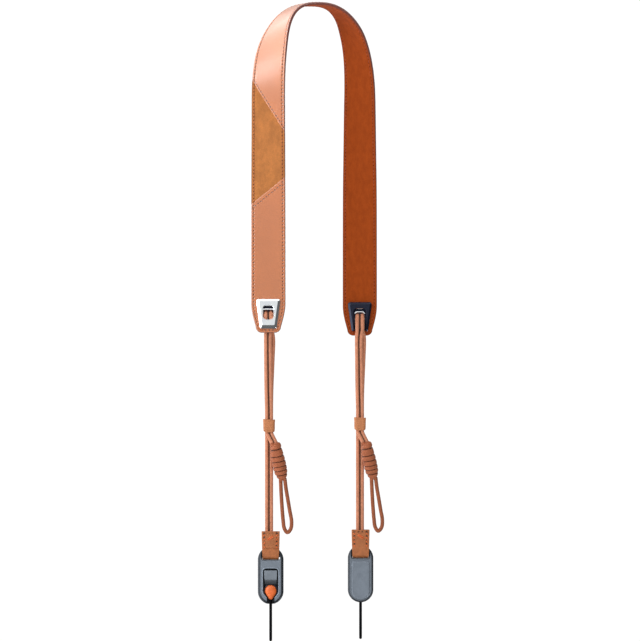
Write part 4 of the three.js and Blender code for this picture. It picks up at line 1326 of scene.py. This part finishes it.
def tab_material(base):
    """Waxed leather with needle holes down both edges of the stitched layer, darkened as painted shade."""
    finish = Finish("tab_leather", base)
    across, height = finish.map("Flat")
    from_column = across.math("ABSOLUTE") - TAB_COLUMN
    stitched = (height - TAB_LAYER_END).ramp(-0.0003, 0.0003)
    hole = oval(height - TAB_TOP, from_column, TAB_PITCH, 0.0010, 0.00075) * stitched
    rows = oval(across, height - (TAB_TOP - 0.0016), TAB_PITCH, 0.0009, 0.0006)
    hole = hole.math("MAXIMUM", rows) * finish.noise(0.0035, 2.0).ramp(0.36, 0.55)
    grain = finish.noise(0.0008, 4.0, 0.65)
    pressed = from_column.math("ABSOLUTE").ramp(0.0012, 0.0003) * stitched
    finish.between(finish.noise(0.005, 4.0, 0.6).ramp(0.3, 0.7), 0.8, 1.12)
    finish.tone(grain.ramp(0.4, 0.75), 0.4, 0.6).tone(pressed, 0.35, 0.55)
    finish.tone(across.math("ABSOLUTE").ramp(0.0070, 0.0078), 0.3, 1.35)
    # painted shade in the needle holes
    finish.tone(stitched, 0.3, 0.72).tone(hole, 0.92, 0.1)
    relief = grain * 0.6 - hole * 2.0 - pressed * 0.5
    return finish.done(roughness=0.5 + grain * 0.2, normal=finish.bump(relief, 0.0004, 0.7))


def tab_stitches(side):
    """The tab's sewing on both faces: slanted stitches down both edges and two long ones across."""
    stitches = [((-0.0026, -0.0080), (0.0030, -0.0042)), ((-0.0034, -0.0072), (0.0022, -0.0035))]
    for column in (-TAB_COLUMN, TAB_COLUMN):
        for z in 0.0001 - TAB_PITCH * np.arange(1, 5):
            stitches.append(((column - 0.0006, z - 0.0010), (column + 0.0006, z + 0.0010)))
    angle = np.arange(8) / 8 * 2 * np.pi
    run = np.linspace(0, 1, 11)[:, None]
    thick = 0.00042 * np.sqrt(np.clip(1 - (2 * run - 1) ** 8, 0.1, 1))
    shell = Shell()
    for start, stop in np.array(stitches) + [0, TAB_TOP]:
        course = (stop - start) / np.linalg.norm(stop - start)
        flat = start + run * (stop - start)
        aside = thick * np.cos(angle)
        for face, outwards in ((-0.0045, -1), (0.0033, 1)):
            lift = face + outwards * (0.0003 * (1 - (2 * run - 1) ** 4) - 0.0002)
            points = np.stack([
                flat[:, :1] - course[1] * aside,
                lift + thick * np.sin(angle),
                flat[:, 1:] + course[0] * aside,
            ], -1)
            shell.grid(on_tab(side, points))
    return shell


def coated_material(name, base, roughness, grain):
    """A shell's matt coat: a fine even tooth, a little clouding, painted shade on its sides and recesses,
    and a painted highlight on raised lines.
    """
    finish = Finish(name, base)
    tooth = finish.noise(grain, 2.0)
    face = finish.map("PaintedLight")[0]
    finish.between(finish.noise(0.008).ramp(0.3, 0.7), 0.93, 1.06)
    # painted shade where the map of painted light is below 1, a painted highlight where it is above 1
    finish.tone(face.ramp(1.0, 0.0), 1.0, 0.18).tone(face.ramp(1.0, 2.0), 1.0, 1.5)
    return finish.done(
        roughness=roughness + tooth * 0.1, normal=finish.bump(tooth, 0.00006, 0.35),
        metallic=0.35, specular_ior_level=0.15,
    )


class Housings(bpy.types.Operator):
    """The shells of the quick releases: a back with its pocket and raised panel, and a cover with
    its window"""

    bl_idname = "strap.housings"
    bl_label = "Quick release shells"

    def execute(self, context):
        coat = coated_material("housing", context.scene.strap_colours.housing, 0.42, 0.0003)
        wide, tall = 0.0112, 0.050
        stadium = box_outline((-wide, 0), (wide, tall), wide * 0.9999, arc_steps=22, edge_steps=6)
        panel_radii = (0.0077, 0.0077, 0.0016, 0.0016)
        panel = box_outline((-0.0078, 0.0023), (0.0078, 0.0361), panel_radii, arc_steps=16)
        slot = box_outline((-0.0082, 0.0385), (0.0082, 0.056), (0.0017, 0.0017, 0.0005, 0.0005))
        window = rounded_outline(
            [(-0.0029, -0.002), (0.0029, -0.002), (0.0029, 0.0059), (0.0062, 0.0106),
             (0.0062, 0.0307), (-0.0062, 0.0307), (-0.0062, 0.0106), (-0.0029, 0.0059)],
            (0.0003, 0.0003, 0.0008, 0.0050, 0.0024, 0.0024, 0.0050, 0.0008),
        )
        pocket = box_outline((-0.0074, 0.0045), (0.0074, 0.0315), (0.0060, 0.0060, 0.0020, 0.0020))
        exit_hole = box_outline((-0.0029, -0.002), (0.0029, 0.0055), 0.0004)
        window_rim = [
            (-0.0011, -0.0050), (-0.00055, -0.00462), (-0.0001, -0.0041), (0, -0.0038), (0, -0.001),
        ]
        slot_rim = [(-0.0007, -0.0050), (-0.0003, -0.00462), (0, -0.0042), (0, -0.001)]
        back_rim = [(0, 0.0016), (0, 0.0041), (-0.0004, 0.00461), (-0.0008, 0.0052)]
        inside = [(0, -0.003), (0, 0.0022)]
        for side in SIDES:
            place = release_place(side)
            section = round_section(-0.0046, -0.0022, 0.0022, 0.00015, 9) * [1.25, 1]
            # painted shade on the cover's rounded edge, full colour on its flat front
            face = np.clip((section[:, 0] - 0.0018) / 0.0009, 0, 1)
            cover = slab(stadium, section, place, face).dress(f"{side}_housing_cover", coat, "housing")
            cut_out(cover, window, window_rim, place)
            cut_out(cover, slot, slot_rim, place)
            joined(cover, window_bead(window(0.0011), place).mesh("bead"))
            crisp(cover)
            section = round_section(-0.0019, 0.0046, 0.00015, 0.0020, 9)
            # painted shade on the back shell: dark on its sides, a little dark on its flat back
            face = np.clip((section[:, 0] - 0.0010) / 0.0010, 0, 1) * np.where(section[:, 1] > 0, 0.7, 0)
            back = slab(stadium, section, place, face).dress(f"{side}_housing_back", coat, "housing")
            under_bar = box_outline((-0.0073, 0.0385), (0.0082 if side == "left" else 0.0073, 0.041), 0.0004)
            for outline, rim in (
                (pocket, inside), (exit_hole, inside), (slot, [(0, -0.003), (0, -0.0016)]),
                (slot, back_rim), (under_bar, [(0, -0.0030), (0, 0.0030)]),
            ):
                cut_out(back, outline, rim, place)
            section = round_section(0.0036, 0.0053, 0.0002, 0.0007)
            # painted shade on the raised panel's sides
            raised = slab(panel, section, place, np.where(section[:, 1] > 0.0048, 1.0, 0.6))
            joined(back, raised.mesh("raised"))
            crisp(back)
        return {"FINISHED"}


def window_bead(outline, place):
    """A thin raised line round the housing's window, open at the bottom where the tether leaves, with a
    painted highlight.
    """
    start = np.argmin(np.abs(outline[:, 0]) + 10 * np.maximum(0, outline[:, 1] - 0.001))
    run = np.roll(outline, -start, axis=0)
    run = run[run[:, 1] > 0.0035]
    turns = np.flatnonzero(np.linalg.norm(np.diff(run, axis=0), axis=1) > 0.004)
    jump = [turn for turn in turns if run[turn, 1] < 0.006 and run[turn + 1, 1] < 0.006]
    if jump:
        run = np.roll(run, -jump[0] - 1, axis=0)
    path, places = evenly(put(place, run[:, 0], -0.00455, run[:, 1]), 0.0006)
    ring = tube_points(path, places, (0, 1, 0), 0.0003, 8)
    # the bead gets a painted highlight
    return Shell().grid(ring, maps=painted_light_map(ring, np.full(len(ring), 2.0)))


class Releases(bpy.types.Operator):
    """The stippled release tongue and the orange anchor knob of each quick release"""

    bl_idname = "strap.releases"
    bl_label = "Release tongues and knobs"

    def execute(self, context):
        colours = context.scene.strap_colours
        stipple = coated_material("tongue", colours.tongue, 0.45, 0.0006)
        orange = knob_material(colours.knob)
        for side in SIDES:
            self.tongue(side, stipple, release_place(side))
            self.knob(side, orange, release_place(side))
        return {"FINISHED"}

    def tongue(self, side, material, place):
        """Rows up the tongue, in millimetres, each a rounded rectangle; the front slopes inwards at
        the bottom."""
        height = np.array([
            17.2, 17.25, 17.5, 18.2, 19.2, 20.4, 21.2, 21.6, 22, 23, 25, 27, 28.7, 29.2, 29.42, 29.5,
        ])
        inset = np.array([0.35, 0.15, *[0] * 11, 0.12, 0.3, 0.5])
        slope = np.interp(height, [17.2, 20.8, 21.4, 22], [1.35, 0.35, 0.12, 0])
        rows = []
        for z, gap, lean in zip(height, inset, slope):
            half = 5.1 + (z - 17.2) / 12.3 * 0.65 - gap
            low, high = (-half, -4.3 + lean + gap * 0.5), (half, -2.8 - gap * 0.3)
            radius = 0.25 if lean < 1 else 0.05
            section = box_outline(low, high, radius, arc_steps=4, edge_steps=10)(0) / 1000
            rows.append(put(place, section[:, 0], section[:, 1], z / 1000))
        rows = np.array(rows)
        # painted shade on the tongue, darkest at its sloping lower front
        face = np.interp(height, [18, 20.4, 21.2, 21.8], [0.15, 0.35, 0.5, 1])
        shell = Shell().grid(rows, maps=painted_light_map(rows, face))
        crisp(shell.dress(f"{side}_release_tongue", material, "tongue", f"{side}_tongue"), 45)

    def knob(self, side, material, place):
        """An upside-down drop, drawn in and raised to a dome by a quarter circle, on a disc that takes the
        dark plate material as painted shade. In millimetres."""
        radius, tip, top, tall, disc_radius = 5.1, 2.0, 16.7, 12.6, 6.5
        centre, tip_centre = top - radius, top - tall + tip
        lean = np.arcsin((radius - tip) / (centre - tip_centre))
        around = np.linspace(-lean, np.pi + lean, 48)
        below = np.linspace(np.pi + lean, 2 * np.pi - lean, 14)[1:-1]
        outline = np.concatenate([
            np.stack([radius * np.cos(around), centre + radius * np.sin(around)], 1),
            np.stack([tip * np.cos(below), tip_centre + tip * np.sin(below)], 1),
        ])
        angle = np.linspace(0, 2 * np.pi, 49)[:-1]
        x, z = disc_radius * np.cos(angle), centre + disc_radius * np.sin(angle)
        disc = np.stack([x, np.minimum(z, top)], 1)
        rise = np.linspace(0, 1, 14)
        dome = zip(np.sqrt(np.clip(1 - rise**1.9, 0.0004, 1)), -2.6 - 2.7 * rise)
        drop_form = outline, centre - 0.9, [(1, -1.2), *dome]
        disc_form = disc, centre, [(0.97, -1.88), (1, -1.7), (1, 0.2), (0.97, 0.4)]
        shell = Shell()
        face_counts = []
        for edge, middle, steps in (drop_form, disc_form):
            middle = np.array([0, middle])
            rows = [((middle + (edge - middle) * share) / 1000, depth / 1000) for share, depth in steps]
            face_counts.append(len(shell.grid(put_rows(place, rows)).faces))
        piece = shell.dress(f"{side}_anchor_knob", material, "knob")
        # the disc is dark: painted shade round the drop in the window
        piece.data.materials.append(bpy.data.materials["dark_plate"])
        on_disc = np.arange(face_counts[1]) >= face_counts[0]
        piece.data.polygons.foreach_set("material_index", on_disc.astype(np.int32))
        crisp(piece, 50)


def knob_material(base):
    """Moulded orange rubber: a soft sheen over a very fine tooth."""
    finish = Finish("knob", base)
    tooth = finish.noise(0.0004, 3.0, 0.6)
    finish.between(finish.noise(0.004).ramp(0.3, 0.7), 0.92, 1.06)
    return finish.done(roughness=0.38 + tooth * 0.04, normal=finish.bump(tooth, 0.000005, 0.4))


# Stage

PICTURE_HEIGHT = 0.5609
SENSOR = 36
MIDDLE = Vector((0.0050, 0, -0.2754))
LIGHTS = (  # name, place, aim, size, watts and which rays don't see it
    ("key_light", (-1.7, -1.9, 1.4), MIDDLE, 1.2, 30, "camera"),
    ("left_strip", (-2.6, -1.3, -0.3), MIDDLE, 0.9, 13, "camera"),
    ("crown_light", (-1.5, 1.5, 1.7), (0, 0, -0.1), 1.6, 12, "camera"),
    ("fill_light", (0.9, -3.2, -0.6), MIDDLE, 1.6, 26, "camera glossy"),
    ("back_light", (1.0, 2.8, 0.5), MIDDLE, 1.6, 12, "camera"),
    ("corner_light", (0.75, 0.2, -1.15), (-0.038, -0.03, -0.285), 0.7, 22, "camera diffuse"),
)


def unseen(thing, rays):
    for ray in rays.split():
        setattr(thing, f"visible_{ray}", False)
    return thing


def area_light(name, place, aim, size, watts, rays):
    """A soft square light that faces its aim."""
    light = bpy.data.lights.new(name, "AREA")
    light.energy = watts
    light.size = size
    lamp = add_object(name, light)
    lamp.location = place
    lamp.rotation_euler = (Vector(aim) - Vector(place)).to_track_quat("-Z", "Y").to_euler()
    return unseen(lamp, rays)


def studio_world():
    """White to the camera; as light it is bright from the left, the top and the front, and dim from
    the right and below, as round a studio table."""
    world = bpy.data.worlds.new("studio")
    nodes = Nodes(world)
    direction = nodes.node("ShaderNodeTexCoord", output="Generated")
    x, y, z = (nodes.node("ShaderNodeSeparateXYZ", {}, {0: direction}, axis) for axis in "XYZ")
    rays = ("Is Camera Ray", "Is Diffuse Ray", "Is Glossy Ray")
    camera, diffuse, glossy = (nodes.node("ShaderNodeLightPath", output=ray) for ray in rays)
    strength = x.ramp(-0.1, -0.9) * 0.35 + z.ramp(0.15, 0.9) * 0.30 + 0.12
    strength = strength + y.ramp(-0.80, -0.97) * 0.70 + y.ramp(0.45, 0.95) * 0.55
    strength = strength + z.ramp(-0.2, -0.9) * 1.1 * diffuse
    mirrored = (x.ramp(-0.52, -0.70) * 3.0).math("MAXIMUM", z.ramp(0.55, 0.8) * 1.8)
    lit, seen = (
        nodes.node("ShaderNodeBackground", {}, {"Color": (1, 1, 1, 1), "Strength": amount})
        for amount in (strength + mirrored * glossy, 1.05)
    )
    mixed = nodes.node("ShaderNodeMixShader", {}, {0: camera, 1: lit, 2: seen})
    nodes.feed(nodes.tree.nodes["World Output"].inputs["Surface"], mixed)
    return world


def studio_floor(depth):
    """A plain pale floor that gives the strap no light or reflection from below."""
    finish = Finish("floor", (1, 1, 1))
    finish.between(finish.noise(0.3, 2.0), 0.86, 0.9)
    mesh = bpy.data.meshes.new("floor")
    corners = ((-1, -1), (1, -1), (1, 1), (-1, 1))
    mesh.from_pydata([(2.2 * x, 2.2 * y, -depth) for x, y in corners], [], [(0, 1, 2, 3)])
    mesh.materials.append(finish.done(roughness=0.9, emission_color=(1, 1, 1, 1), emission_strength=0.5))
    return unseen(add_object("floor", mesh), "glossy diffuse")


class Stage(bpy.types.Operator):
    """A pale floor, a white surround, soft studio light and the camera at the photo's angle"""

    bl_idname = "strap.stage"
    bl_label = "Stage and camera"

    def execute(self, context):
        scene = context.scene
        sizes = scene.strap_sizes
        camera = bpy.data.cameras.new("camera")
        camera.sensor_width = SENSOR
        camera.lens = SENSOR * sizes.view_distance / PICTURE_HEIGHT
        camera.clip_end = 30
        eye = add_object("camera", camera)
        eye.location = MIDDLE - Vector((0, sizes.view_distance, 0))
        eye.rotation_euler = (np.pi / 2, 0, 0)
        scene.camera = eye
        scene.world = studio_world()
        scene.view_settings.view_transform = "Standard"
        studio_floor(sizes.floor_height)
        [area_light(*light) for light in LIGHTS]
        return {"FINISHED"}


class StrapPanel(bpy.types.Panel):
    """The strap's sizes and colours, and a button for each step"""

    bl_idname = "VIEW3D_PT_camera_neck_strap"
    bl_label = "Camera neck strap"
    bl_space_type = "VIEW_3D"
    bl_region_type = "UI"
    bl_category = "Strap"

    def draw(self, context):
        scene = context.scene
        for group in (scene.strap_sizes, scene.strap_colours):
            box = self.layout.box()
            for name in group.__annotations__:
                box.prop(group, name)
        for operator in OPERATORS:
            self.layout.operator(operator.bl_idname)


OPERATORS = (
    Stage, Cords, PullLoops, Tethers, Knots, Keepers, BandLeather, BandStitching,
    Plates, Tabs, Housings, Releases, CordFacts,
)
CLASSES = (StrapSizes, StrapColours, *OPERATORS, StrapPanel)


def register():
    for one in CLASSES:
        bpy.utils.register_class(one)
    bpy.types.Scene.strap_sizes = bpy.props.PointerProperty(type=StrapSizes)
    bpy.types.Scene.strap_colours = bpy.props.PointerProperty(type=StrapColours)


def unregister():
    del bpy.types.Scene.strap_sizes
    del bpy.types.Scene.strap_colours
    for one in reversed(CLASSES):
        bpy.utils.unregister_class(one)


def main():
    register()
    for operator in OPERATORS:
        group, name = operator.bl_idname.split(".")
        getattr(getattr(bpy.ops, group), name)()
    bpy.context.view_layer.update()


if __name__ == "__main__":
    main()
